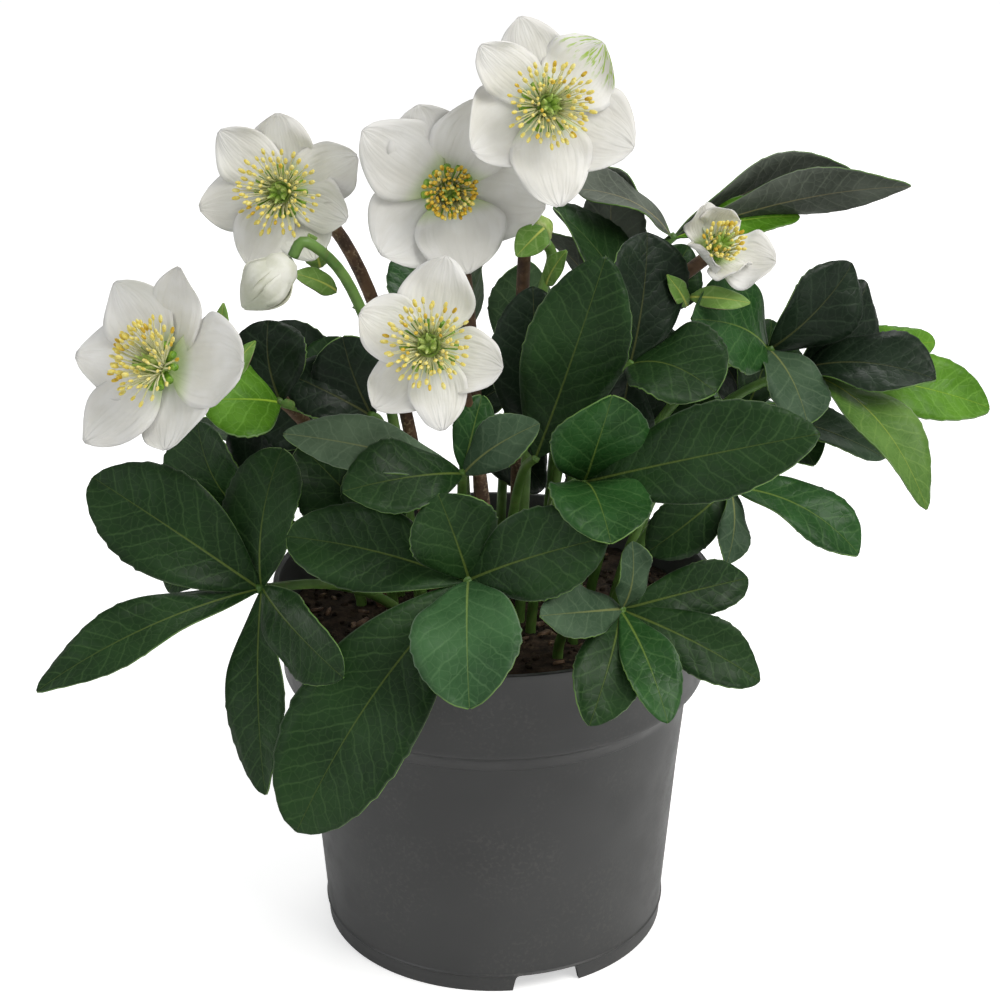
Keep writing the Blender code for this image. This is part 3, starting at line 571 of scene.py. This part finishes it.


# Leaves: the stalk's place in the compost, the hub, then each leaflet's tip, width,
# arch, roll and tone, the tone carrying painted light and shade besides the leaflet's own green

leaves = {
    "leaf_front_left": ((-30, -22), (-84, -56, 165), (
        ((-144, -45, 204), 38, 8, 6, "deep"),
        ((-76, -40, 213), 34, 5, 0, "deep"),
        ((-161, -90, 141), 24, 8, 0, "deep"),
        ((-80, -107, 109), 26, 4, 0, "deep"),
        ((-51, -115, 159), 25, 4, 10, "deep"),
    )),
    "leaf_front_middle": ((-8, -36), (-9, -77, 178), (
        ((-73, -66, 190), 32, 5, 0, "deep"),
        ((-69, -114, 98), 46, 12, 0, "deep"),
        ((-8, -124, 152), 38, 8, 0, "misty"),
        ((39, -94, 202), 32, 5, 0, "deep"),
        ((-19, -80, 212), 32, 2, 0, "deep"),
    )),
    "leaf_front_right": ((24, -40), (45, -76, 166), (
        ((33, -114, 140), 24, 5, 0, "deep"),
        ((60, -114, 141), 20, 4, 0, "mid"),
        ((94, -88, 144), 22, 6, 0, "deep"),
        ((91, -62, 172), 19, 5, 0, "deep"),
        ((16, -106, 178), 19, 2, 0, "grey"),
        ((48, -84, 196), 14, 3, 0, "grey"),
    )),
    "leaf_middle_right": ((14, -20), (32, -54, 206), (
        ((111, -84, 236), 34, 8, 0, "deep"),
        ((40, -99, 202), 36, 6, 0, "mid"),
        ((41, -66, 243), 36, 4, 0, "mid"),
    )),
    "leaf_tall": ((4, -6), (15, -32, 206), (
        ((39, -46, 287), 36, 5, 0, "deep"),
        ((14, -24, 269), 32, 4, -16, "dark"),
    )),
    "leaf_heart_right": ((30, -26), (49, -28, 241), (
        ((55, -14, 286), 34, 3, 0, "dark"),
        ((78, -52, 239), 42, 6, 0, "deep"),
        ((38, -16, 268), 17, 3, 0, "mid"),
        ((42, -34, 204), 24, 3, 0, "dark"),
    )),
    "leaf_heart_back": ((24, 6), (54, 8, 244), (
        ((22, 10, 288), 38, 4, 0, "deep"),
        ((72, 12, 273), 24, 3, 0, "deep"),
    )),
    "leaf_top": ((18, 18), (67, 31, 270), (
        ((135, 45, 293), 26, 7, -35, "slate"),
        ((155, 26, 292), 22, 6, -35, "slate"),
        ((30, 14, 294), 24, 6, -30, "slate"),
        ((29, 46, 296), 18, 4, 0, "slate"),
        ((116, 40, 276), 18, 3, 40, "bright"),
    )),
    "leaf_right_upper": ((38, 14), (102, 2, 236), (
        ((71, -22, 256), 40, 5, -20, "mid"),
        ((132, 6, 268), 30, 6, -10, "dark"),
        ((114, -28, 218), 26, 4, 25, "grey"),
    )),
    "leaf_right_outer": ((46, 2), (114, 10, 225), (
        ((141, 26, 254), 30, 5, 0, "dark"),
        ((162, -14, 230), 32, 7, 35, "dark"),
        ((157, -42, 190), 26, 12, 24, "fresh"),
        ((188, 12, 209), 26, 7, 20, "bright"),
        ((170, 36, 227), 18, 5, 0, "bright"),
    )),
    "leaf_right_low": ((44, -16), (86, -34, 196), (
        ((132, -50, 176), 24, 8, 0, "mid"),
        ((84, -54, 174), 13, 3, 0, "grey"),
        ((56, -44, 174), 22, 4, 0, "deep"),
    )),
    "leaf_left_high": ((-38, -8), (-76, -40, 231), (
        ((-103, -58, 238), 34, 4, -25, "bright"),
        ((-80, -32, 259), 30, 4, 20, "dark"),
    )),
    "leaf_left_back": ((-37, 14), (-44, -30, 222), (
        ((-75, -29, 238), 23, 5, -5, "dark"),
        ((-54, -30, 252), 30, 3, 0, "dark"),
    )),
    "leaf_left_inner": ((-24, -30), (-37, -44, 174), (
        ((-70, -34, 212), 34, 5, 0, "deep"),
        ((-44, -40, 212), 24, 4, 0, "deep"),
    )),
    "leaf_middle_left": ((-12, -14), (-11, -54, 209), (
        ((-73, -66, 229), 20, 6, 0, "ash"),
        ((16, -64, 232), 18, 4, 0, "grey"),
        ((-52, -80, 213), 28, 5, 0, "deep"),
        ((-4, -47, 236), 15, 3, 0, "mid"),
    )),
    "leaf_back_left": ((-28, 26), (-60, 46, 190), (
        ((-126, 56, 178), 28, 7, 0, "deep"),
        ((-112, 102, 160), 30, 8, 0, "mid"),
        ((-62, 122, 152), 28, 8, 0, "deep"),
        ((-92, 36, 226), 26, 5, 0, "deep"),
    )),
    "leaf_back_middle": ((2, 34), (8, 70, 200), (
        ((-24, 138, 172), 30, 8, 0, "deep"),
        ((38, 146, 178), 30, 8, 0, "mid"),
        ((-44, 98, 206), 26, 5, 0, "deep"),
        ((14, 92, 242), 26, 4, 0, "deep"),
    )),
    "leaf_back_right": ((34, 34), (78, 62, 192), (
        ((144, 64, 170), 28, 8, 0, "mid"),
        ((124, 108, 156), 28, 8, 0, "deep"),
        ((78, 130, 150), 26, 7, 0, "deep"),
    )),
    "leaf_crown_back": ((-10, 18), (-14, 28, 198), (
        ((-54, 34, 242), 36, 5, -30, "deep"),
        ((-4, 38, 260), 36, 4, 0, "deep"),
        ((-36, 84, 250), 30, 7, 0, "mid"),
        ((19, 28, 217), 32, 4, 30, "dark"),
        ((20, 27, 170), 30, 4, 60, "dark"),
    )),
    "leaf_centre_right": ((28, 24), (50, 22, 194), (
        ((64, 26, 238), 34, 4, -35, "dark"),
        ((86, 24, 206), 30, 4, 30, "deep"),
        ((28, 32, 172), 28, 4, -60, "dark"),
    )),
    "leaf_right_under": ((52, 22), (96, 22, 204), (
        ((149, 8, 190), 20, 5, 20, "grey"),
        ((78, 25, 232), 30, 4, -35, "dark"),
        ((106, 30, 238), 30, 4, -40, "deep"),
        ((122, 6, 188), 26, 4, 20, "deep"),
    )),
    "leaf_left_crown": ((-34, 26), (-58, 10, 205), (
        ((-88, 12, 214), 36, 5, -40, "dark"),
        ((-58, 8, 239), 34, 5, 30, "deep"),
        ((-84, 18, 240), 30, 5, 0, "dark"),
        ((-72, 12, 166), 30, 5, 0, "deep"),
    )),
    "leaf_left_under": ((-52, 6), (-98, 10, 168), (
        ((-140, 8, 166), 36, 6, -20, "deep"),
        ((-112, 6, 206), 38, 5, 35, "deep"),
        ((-74, 6, 198), 38, 5, 35, "dark"),
        ((-124, -12, 143), 28, 6, -35, "deep"),
    )),
    "leaf_upper_back": ((20, 40), (40, 42, 244), (
        ((44, 46, 286), 30, 4, 0, "grey"),
        ((14, 42, 270), 30, 4, 0, "deep"),
        ((72, 40, 254), 28, 4, 0, "deep"),
    )),
}

leafLook = {"stalk": 2.1, "neck": 1.2, "sides": 10, "rings": 26, "twist": 5,
            "paleBacked": ("leaf_top", "leaf_upper_back")}


def dressLeaf(node, foot, hub, leaflets):
    tones = sorted({leaflet[4] for leaflet in leaflets})
    below = leafFinishes["slate" if node in leafLook["paleBacked"] else "under"]
    finishes = [plain["stalkGreen"], below] + [leafFinishes[tone] for tone in tones]
    bm = startPiece()
    centre = Vector(hub)
    points = stalkPath(foot, hub)
    points.append(centre + (centre - points[-2]).normalized() * 1.4)
    radii = [leafLook["stalk"] * (1 - 0.2 * i / (len(points) - 1)) for i in range(len(points))]
    radii[-1] = leafLook["neck"]
    addTube(bm, points, radii, leafLook["sides"], 0, leafLook["rings"])
    behind = centre.y > 25
    outward = Vector((centre.x, centre.y, 0)) * 0.012
    face = Vector((0, 0, 1)) + outward + Vector((0, 0 if behind else -0.5, 0))
    for i, (tip, width, arch, roll, tone) in enumerate(leaflets):
        root = centre + Vector((0.11 * i, -0.07 * i, 0.23 * i - 0.4))
        # a little twist lets neighbours pass one over the other
        addBlade(bm, root, tip, width, arch, roll + leafLook["twist"], face, leafCut, 2 + tones.index(tone), 1)
    finishPiece(bm, camelName(node), finishes, [node])


for leafNode, plan in leaves.items():
    dressLeaf(leafNode, *plan)
print("leaves dressed:", len(leaves))


# Flowers

flowers = {
    # stalk's foot, middle, heading and rise, sepals (turn, length, width, cup), stamens
    "bloom_left": ((-44, 6), (-114, -60, 252), (-34, 22), (
        (82, 36, 22, 16), (11, 39, 33, 8), (290, 30, 32, 8), (235, 40, 25, 10),
        (186, 36, 26, 12), (132, 34, 28, 14),
    ), {"reach": 13.0, "lean": (-0.30, 0.34), "amber": 0.1}),
    "bloom_upper_left": ((-22, 0), (-75, -10, 300), (-8, 12), (
        (94, 28, 24, 10), (137, 31, 22, 10), (193, 31, 22, 10), (246, 29, 22, 8),
        (297, 27, 22, 8), (340, 26, 20, 10), (26, 31, 23, 10),
    ), {"reach": 13.0, "lean": (0.0, 0.05), "amber": 0.1}),
    "bloom_upper_middle": ((-4, 4), (-16, -20, 303), (6, 10), (
        (109, 33, 30, 12), (143, 38, 29, 10), (221, 33, 34, 8), (282, 30, 34, 8),
        (350, 35, 32, 8), (66, 36, 28, 12),
    ), {"reach": 8.8, "lean": (0.0, 0.0), "amber": 0.8, "rise": 54.0, "close": 7.0}),
    "bloom_top": ((8, 12), (18, -30, 336), (10, 16), (
        (106, 32, 23, 12), (138, 32, 20, 14), (207, 31, 30, 10), (274, 35, 29, 8),
        (332, 34, 32, 8), (45, 29, 29, 10),
    ), {"reach": 12.6, "lean": (0.05, 0.05), "amber": 0.15}),
    "bloom_front": ((0, -24), (-21, -86, 268), (-4, 24), (
        (81, 31, 25, 12), (156, 26, 24, 12), (230, 28, 22, 10), (281, 29, 20, 10),
        (344, 26, 23, 10),
    ), {"reach": 12.0, "lean": (0.0, 0.0), "amber": 0.1}),
    "bloom_small": ((30, -10), (79, -16, 280), (18, 34), (
        (119, 20, 15, 44), (74, 17, 16, 50), (335, 23, 23, 24), (284, 15, 17, 40),
        (215, 13, 15, 56),
    ), {"reach": 7.6, "lean": (0.0, 0.0), "amber": 0.1, "rise": 62.0, "close": 6.0}),
}


def polar(radius, turn, height):
    return Vector((radius * math.cos(turn), radius * math.sin(turn), height))


def flowerFrame(middle, heading, rise):
    h, r = math.radians(heading), math.radians(rise)
    z = Vector((math.sin(h) * math.cos(r), -math.cos(h) * math.cos(r), math.sin(r)))
    x = Vector((0, 0, 1)).cross(z).normalized()
    turn = Matrix((x, z.cross(x), z)).transposed().to_4x4()
    return Matrix.Translation(Vector(middle)) @ turn, z


cuppedFrom = 30  # a sepal that rises more than this belongs to a half-open bloom
sepalArch = -2.0
streaked = ("bloom_top", 45)  # the one sepal with green streaks: its bloom and turn


def dressSepals(name, node, frame, sepals):
    bm = startPiece()
    addLathe(bm, [(0, 0.5), (3.2, 0.3), (4.8, -0.4), (4.4, -1.6), (3.4, -2.1), (0, -2.1)], 20, 1)
    for i, (turn, length, width, cup) in enumerate(sepals):
        angle, rise = math.radians(turn), math.radians(cup)
        last = i == len(sepals) - 1 and i % 2 == 0
        level = -0.7 if last else -1.5 + 1.6 * (i % 2)
        root = polar(3.7 if cup > cuppedFrom else 2.0, angle, level)
        tip = polar(length * math.cos(rise), angle, level + length * math.sin(rise))
        finish = 2 if (node, turn) == streaked else 0
        addBlade(bm, root, tip, width, sepalArch, 0, (0, 0, 1), sepalCut, finish, finish)
    bmesh.ops.transform(bm, matrix=frame, verts=bm.verts)
    finishPiece(bm, name + "Sepals", [sepalFinish, plain["carpelGreen"], sepalFlushed], [node + "_sepals"])


# nectaries stand in a ring round the carpels; a half-open bloom shows fewer, upright ones
heartLook = {"nectaries": 12, "cuppedNectaries": 6, "cuppedLean": 62, "cuppedReach": 3.6, "carpels": 6,
             "nectaryRadii": (0.75, 1.0, 1.45, 1.3, 0.95, 0.5), "carpelRadii": (1.2, 1.25, 0.6, 0.3)}


def dressHeart(name, node, frame, cupped):
    look = heartLook
    bm = startPiece()
    addLathe(bm, [(0, 7.4), (1.6, 7.0), (2.6, 6.0), (2.8, 3.6), (4.4, 3.4), (4.4, 1.4), (0, 1.4)], 18, 1)
    count = look["cuppedNectaries"] if cupped else look["nectaries"]
    for k in range(count):
        turn = math.tau * (k + 0.2 * random.random()) / count
        lean = math.radians(look["cuppedLean"] if cupped else random.uniform(20, 30))
        start = polar(2.9, turn, 2.1)
        way = polar(math.cos(lean), turn, math.sin(lean))
        reach = look["cuppedReach"] if cupped else random.uniform(6.4, 7.4)
        # a tube that widens to an open lip, with a hollow sunk in its end
        points = [start, start + way * reach * 0.5, start + way * reach * 0.92, start + way * reach,
                  start + way * reach * 0.97, start + way * reach * 0.7]
        addTube(bm, points, look["nectaryRadii"], 8, 0)
    for k in range(look["carpels"]):
        turn = math.tau * (k + 0.5) / look["carpels"]
        lean = 1.0 + 0.25 * random.random()
        points = [polar(1.4, turn, 5.2), polar(1.9, turn, 7.6), polar(2.0 * lean, turn, 10.4),
                  polar(3.0 * lean, turn, 13.0)]
        addTube(bm, points, look["carpelRadii"], 8, 1, 8)
    bmesh.ops.transform(bm, matrix=frame, verts=bm.verts)
    finishPiece(bm, name + "Heart", [plain["nectaryGreen"], plain["carpelGreen"]], [node + "_heart"])


stamenLook = {
    # each ring: threads, rise in degrees and share of the bloom's reach
    "rings": ((26, 30.0, 0.98), (26, 46.0, 0.96), (22, 62.0, 0.90), (16, 77.0, 0.80)),
    "threadRadii": (0.34, 0.30, 0.24), "anther": (0.72, 1.0), "stretch": (0.9, 0.7, 1.7),
}


def dressStamens(name, node, frame, cupped, look):
    bm = startPiece()
    addLathe(bm, [(3.2, 3.95), (4.2, 3.95), (4.5, 4.3), (4.3, 5.2), (3.9, 5.4), (3.2, 5.4)], 20, 3)
    for ring, (count, tilt, share) in enumerate(stamenLook["rings"]):
        total = count // 2 + 2 if cupped else count
        for k in range(total):
            turn = math.tau * (k + 0.37 * ring + random.uniform(-0.25, 0.25)) / total
            tilted = max(tilt, look.get("rise", 0.0)) + look.get("close", 0.0) * ring
            rise = math.radians(tilted + random.uniform(-7, 7))
            reach = look["reach"] * share * random.uniform(0.84, 1.04)
            start = polar(3.85, turn, 4.6)
            way = polar(math.cos(rise), turn, math.sin(rise))
            way = (way + Vector((*look["lean"], 0)) * 0.8).normalized()
            bow = Vector((0, 0, 1)) * random.uniform(0.4, 1.6)
            middle = start + way * reach * 0.55 + bow
            end = start + way * reach
            points = [start, onCurve(start, middle, end, 0.5), end]
            addTube(bm, points, stamenLook["threadRadii"], 4, 0, 4)
            size = random.uniform(*stamenLook["anther"])
            shape = Matrix.Translation(end) @ way.to_track_quat("Z", "Y").to_matrix().to_4x4()
            shape = shape @ Matrix.Diagonal([size * part for part in stamenLook["stretch"]] + [1])
            tipVerts = bmesh.ops.create_uvsphere(bm, u_segments=6, v_segments=4, radius=1.0, matrix=shape)["verts"]
            tone = 2 if random.random() < look["amber"] else 1
            for one in gridFaces(tipVerts):
                one.material_index = tone
    bmesh.ops.transform(bm, matrix=frame, verts=bm.verts)
    finishes = [plain[tint] for tint in ("threadCream", "antherYellow", "antherAmber", "carpelGreen")]
    finishPiece(bm, name + "Stamens", finishes, [node + "_stamens"])


def addBract(bm, root, tip, width, face, finish):
    addBlade(bm, root, tip, width, 2.0, 0, face, bractCut, finish, finish)


bracts = {
    # leaf-like scales on the flower stalks: root, tip, width
    "bloom_left": (((-97, -50, 242), (-93, -55, 273), 9), ((-96, -48, 240), (-84, -40, 254), 8)),
    "bloom_upper_left": (((-63, -6, 270), (-66, -16, 286), 9), ((-57, -8, 262), (-72, -18, 272), 9)),
    "bloom_small": (((71, -15, 262), (92, -22, 262), 9), ((70, -14, 258), (62, -20, 272), 7)),
    "bloom_top": (((18, -22, 290), (8, -30, 282), 12),),
}


def dressStalk(name, node, middle, foot, z):
    bm = startPiece()
    neck = Vector(middle) + z * (-2.1 - 0.35)
    path = stalkPath(foot, neck - z * 9.0) + [neck - z * 3.0, neck]
    radii = [2.5] * (len(path) - 2) + [2.3, 2.9]  # it swells under the bloom
    addTube(bm, path, radii, 12, 0, 34)
    for root, tip, width in bracts.get(node, ()):
        addBract(bm, root, tip, width, (0, -0.8, 0.6), 1)
    finishPiece(bm, name + "Stalk", [plain["stalkWoody"], leafFinishes["bract"]], [node + "_stalk"])


for node, (foot, middle, aim, sepals, look) in flowers.items():
    name = camelName(node)
    turn, z = flowerFrame(middle, *aim)
    cupped = max(cup for _, _, _, cup in sepals) > cuppedFrom
    dressSepals(name, node, turn, sepals)
    dressHeart(name, node, turn, cupped)
    dressStamens(name, node, turn, cupped, look)
    dressStalk(name, node, middle, foot, z)
print("flowers dressed:", len(flowers))


# Buds

buds = {
    # stalk's foot, middle, the way it points, length and width
    "bud_white": ((-28, -8), (-79, -38, 275), (-0.62, -0.15, -0.62), 24, 17),
    "bud_green": ((10, -8), (17, -10, 286), (-0.3, -0.3, 0.9), 12, 8),
}


budLook = {"core": ((0, -1), (0.2, -0.93), (0.36, -0.7), (0.46, -0.1), (0.42, 0.35), (0.26, 0.75), (0, 1)),
           "petals": 5, "stalk": 2.0}


def dressBud(node, foot, middle, way, length, width):
    name = camelName(node)
    z = Vector(way).normalized()
    x = z.orthogonal().normalized()
    turn = Matrix.Translation(Vector(middle)) @ Matrix((x, z.cross(x), z)).transposed().to_4x4()
    half = length / 2
    bm = startPiece()
    addLathe(bm, [(width * across, half * up) for across, up in budLook["core"]], 20, 1)
    for k in range(budLook["petals"]):
        # closed petals that hug the core
        angle = 0.4 + math.tau * k / budLook["petals"]
        root = polar(width * 0.14, angle, -half * 0.9)
        tip = polar(width * 0.05, angle + 0.5, half * 1.04)
        addBlade(bm, root, tip, width, -width * 0.40, 6, polar(-1.0, angle, 0), budCut, 0, 0)
    bmesh.ops.transform(bm, matrix=turn, verts=bm.verts)
    white = node == "bud_white"
    finishes = [plain["budWhite" if white else "carpelGreen"]] * 2
    finishPiece(bm, name, finishes, [node])
    bm = startPiece()
    neck = Vector(middle) - z * (half + 0.6)
    path = stalkPath(foot, neck - z * 7.0) + [neck]
    addTube(bm, path, [budLook["stalk"]] * len(path), 10, 0, 30)
    if not white:
        addBract(bm, (19, -13, 266), (26, -20, 281), 8, (-0.6, -0.8, 0.2), 1)
    finishPiece(bm, name + "Stalk", [plain["stalkGreen"], leafFinishes["bract"]], [node + "_stalk"])


for node, plan in buds.items():
    dressBud(node, *plan)
print("buds dressed")


# Pot

potShape = {
    # radius and height, down the middle of the floor, up the inside and down the outside
    "inside": [(0.0, 10.4), (62.3, 10.4), (64.3, 12.4), (73.0, 101.0), (78.0, 110.0), (81.8, 141.6)],
    "rim": [(82.7, 143.7), (83.2, 144.0), (84.5, 144.0), (84.9, 143.7), (84.95, 142.8), (84.3, 141.6)],
    "collar": [(83.2, 128.0), (82.2, 116.0), (81.7, 111.6), (81.8, 110.0), (81.3, 108.8), (80.0, 108.2),
               (78.4, 106.0), (76.2, 102.4), (75.9, 101.2), (75.3, 100.7), (75.1, 99.6)],
    "wall": [(72.0, 68.0), (68.9, 30.0), (67.25, 9.2), (67.3, 8.0), (67.75, 7.4), (67.3, 6.8), (66.9, 6.2)],
    "foot": [(66.8, 0.5), (66.5, 0.0), (64.4, 0.0), (64.4, 6.9), (63.7, 7.6)],
    "boss": [(10.0, 7.6), (9.0, 0.2), (8.7, 0.0), (0.0, 0.0)],
    "steps": 144, "sharpFrom": 32,
}
# three notches through the foot ring and three holes in the floor, in degrees and millimetres
potCuts = {"number": 3, "firstTurn": 17.8, "notchOut": 66.2, "notchDepth": 9.0, "notchTop": 6.9, "topHalf": 12.0,
           "footHalf": 14.5, "corner": 2.0, "holeOut": 42.0, "holeRadius": 4.0}


def wholePart(verts):
    # Every vert joined to the given ones by edges
    linked, grow = set(), list(verts)
    while grow:
        vert = grow.pop()
        if vert not in linked:
            linked.add(vert)
            grow.extend(edge.other_vert(vert) for edge in vert.link_edges)
    return list(linked)


def dressPot():
    profile = [point for part in ("inside", "rim", "collar", "wall", "foot", "boss") for point in potShape[part]]
    bm = startPiece()
    addLathe(bm, profile, potShape["steps"])
    pot = finishPiece(bm, "nurseryPot", [potFinish], ["pot"])
    knives = bmesh.new()
    cuts = potCuts
    for k in range(cuts["number"]):
        turn = math.radians(cuts["firstTurn"] + k * 360 / cuts["number"]) - math.pi / 2
        turn = Matrix.Rotation(turn, 4, "Z")
        notch = bmesh.ops.create_cube(knives, size=1.0)["verts"]
        for vert in notch:
            outer = cuts["topHalf"] if vert.co.z > 0 else cuts["footHalf"]
            level = cuts["notchTop"] if vert.co.z > 0 else -5.0
            out = cuts["notchOut"] + vert.co.x * cuts["notchDepth"]
            vert.co = Vector((out, math.copysign(outer, vert.co.y), level))
        upper = [edge for edge in {e for v in notch for e in v.link_edges}
                 if all(vert.co.z > 0 for vert in edge.verts) and abs(edge.verts[0].co.y - edge.verts[1].co.y) < 1]
        rounded = bmesh.ops.bevel(knives, geom=upper, offset=cuts["corner"], segments=4, profile=0.5,
                                  affect="EDGES", material=-1)
        bmesh.ops.transform(knives, matrix=turn, verts=wholePart(rounded["verts"]))
        away = turn @ Matrix.Translation((cuts["holeOut"], 0, 9.0))
        bmesh.ops.create_cone(knives, cap_ends=True, segments=24, radius1=cuts["holeRadius"],
                              radius2=cuts["holeRadius"], depth=12.0, matrix=away)
    bmesh.ops.scale(knives, verts=knives.verts, vec=toMetres)
    bmesh.ops.recalc_face_normals(knives, faces=knives.faces)
    knifeMesh = bpy.data.meshes.new("potKnives")
    knives.to_mesh(knifeMesh)
    knives.free()
    knife = bpy.data.objects.new("potKnives", knifeMesh)
    bpy.context.scene.collection.objects.link(knife)
    cut = pot.modifiers.new("cut", "BOOLEAN")
    cut.operation = "DIFFERENCE"
    cut.solver = "EXACT"
    cut.object = knife
    bpy.context.view_layer.update()
    graph = bpy.context.evaluated_depsgraph_get()
    whole = bpy.data.meshes.new_from_object(pot.evaluated_get(graph))
    pot.modifiers.clear()
    pot.data = whole
    bpy.data.objects.remove(knife, do_unlink=True)
    whole.shade_smooth()
    whole.set_sharp_from_angle(angle=math.radians(potShape["sharpFrom"]))


dressPot()
print("pot dressed")


# Compost

compostLook = {"rings": 46, "spokes": 150, "radius": 79.0, "sink": 0.8, "slopeFrom": 68.0, "slope": 0.12,
               "crumbs": 520, "barkPieces": 90, "crumbsWithin": 76.0, "crumbSize": (0.8, 1.9),
               "below": [(77.0, 114.0), (71.8, 100.0), (63.4, 10.8), (0.0, 10.8)]}


def compostHeight(x, y):
    # Gently uneven, and a little lower towards the pot's wall
    place = Vector((x, y, 0))
    lumps = 1.5 * noise.noise(place * 0.06) + 1.1 * noise.noise(place * 0.19) + 0.7 * noise.noise(place * 0.5)
    fall = max(0.0, math.hypot(x, y) - compostLook["slopeFrom"]) * compostLook["slope"]
    return soilTop - compostLook["sink"] + lumps - fall


def dressCompost():
    look = compostLook
    bm = startPiece()
    profile = [(r * look["radius"] / look["rings"], soilTop) for r in range(look["rings"] + 1)]
    for vert in addLathe(bm, profile + look["below"], look["spokes"]):
        if vert.co.z > soilTop - 1:
            vert.co.z = compostHeight(vert.co.x, vert.co.y)
    for k in range(look["crumbs"] + look["barkPieces"]):
        bark = k >= look["crumbs"]
        turn, radius = random.uniform(0, math.tau), look["crumbsWithin"] * math.sqrt(random.random())
        x, y = radius * math.cos(turn), radius * math.sin(turn)
        z = compostHeight(x, y)
        size = random.uniform(*look["crumbSize"])
        stretch = (size * 2.4, size * 1.1, size * 0.5, 1) if bark else (size, size * 0.8, size * 0.7, 1)
        shape = Matrix.Translation((x, y, z + 0.2)) @ Matrix.Rotation(random.uniform(0, 6.28), 4, "Z")
        shape = shape @ Matrix.Rotation(random.uniform(-0.5, 0.5), 4, "Y") @ Matrix.Diagonal(stretch)
        lump = bmesh.ops.create_icosphere(bm, subdivisions=1, radius=1.0, matrix=shape)["verts"]
        for vert in lump:
            vert.co += Vector([random.uniform(-0.18, 0.18) * size for _ in range(3)])
        for one in gridFaces(lump):
            one.material_index = 1 if bark else 0
    finishPiece(bm, "compost", [soilFinish, plain["stalkWoody"]], ["soil"])


dressCompost()
print("compost dressed")


# Camera, light and floor

stageLook = {
    # place, size and power in watts of each soft lamp, and its tint
    "lamps": {
        "keyRight": ((0.85, -0.6, 1.3), (0, 0, 0.2), (0.9, 0.9), 15.0, (1.0, 0.985, 0.96)),
        "fillLeft": ((-1.1, -0.7, 0.8), (0, 0, 0.16), (0.9, 1.2), 3.4, (0.95, 0.97, 1.0)),
        "backTop": ((0.2, 1.1, 1.2), (0, 0, 0.2), (1.2, 0.8), 7.0, (1.0, 1.0, 1.0)),
    },
    "world": 0.38, "floor": (0.93, 0.93, 0.925, 1.0), "floorGlow": 0.55, "floorSize": 6.0,
    "camera": (0.0023, -0.875, 0.546), "lookDown": 0.40, "lens": 90.0, "sensor": 36.0,
}


def lookFrom(place, target):
    return (Vector(target) - Vector(place)).to_track_quat("-Z", "Y").to_euler()


def addLight(name, place, target, size, power, tint):
    data = bpy.data.lights.new(name, "AREA")
    data.shape = "RECTANGLE"
    data.size, data.size_y = size
    data.energy = power
    data.color = tint
    lamp = bpy.data.objects.new(name, data)
    bpy.context.scene.collection.objects.link(lamp)
    lamp.location = place
    lamp.rotation_euler = lookFrom(place, target)


def setStage():
    look = stageLook
    lens = bpy.data.cameras.new("photoView")
    lens.sensor_width = look["sensor"]
    lens.lens = look["lens"]
    camera = bpy.data.objects.new("photoView", lens)
    camera.location = look["camera"]
    camera.rotation_euler = (math.pi / 2 - look["lookDown"], 0.0, 0.0)
    bpy.context.scene.collection.objects.link(camera)
    bpy.context.scene.camera = camera
    for name, lamp in look["lamps"].items():
        addLight(name, *lamp)
    world = bpy.data.worlds.new("paleRoom")
    world.use_nodes = True
    world.node_tree.nodes["Background"].inputs[0].default_value = (1.0, 1.0, 1.0, 1.0)
    world.node_tree.nodes["Background"].inputs[1].default_value = look["world"]
    bpy.context.scene.world = world
    bm = bmesh.new()
    bmesh.ops.create_grid(bm, x_segments=1, y_segments=1, size=look["floorSize"])
    mesh = bpy.data.meshes.new("paleFloor")
    bm.to_mesh(mesh)
    bm.free()
    floor = bpy.data.objects.new("paleFloor", mesh)
    bpy.context.scene.collection.objects.link(floor)
    paint, tree, shader = startMaterial("floorPaint", 0.7, 0.2)
    shader.inputs["Base Color"].default_value = look["floor"]
    # the floor looks white to the camera but throws no light of its own up at the pot
    seen = tree.nodes.new("ShaderNodeLightPath").outputs["Is Camera Ray"]
    tree.links.new(blendColour(tree, seen, (0.0, 0.0, 0.0), (1.0, 1.0, 1.0)), shader.inputs["Emission Color"])
    shader.inputs["Emission Strength"].default_value = look["floorGlow"]
    mesh.materials.append(paint)
    bpy.context.scene.view_settings.view_transform = "Standard"


setStage()
print("stage ready")
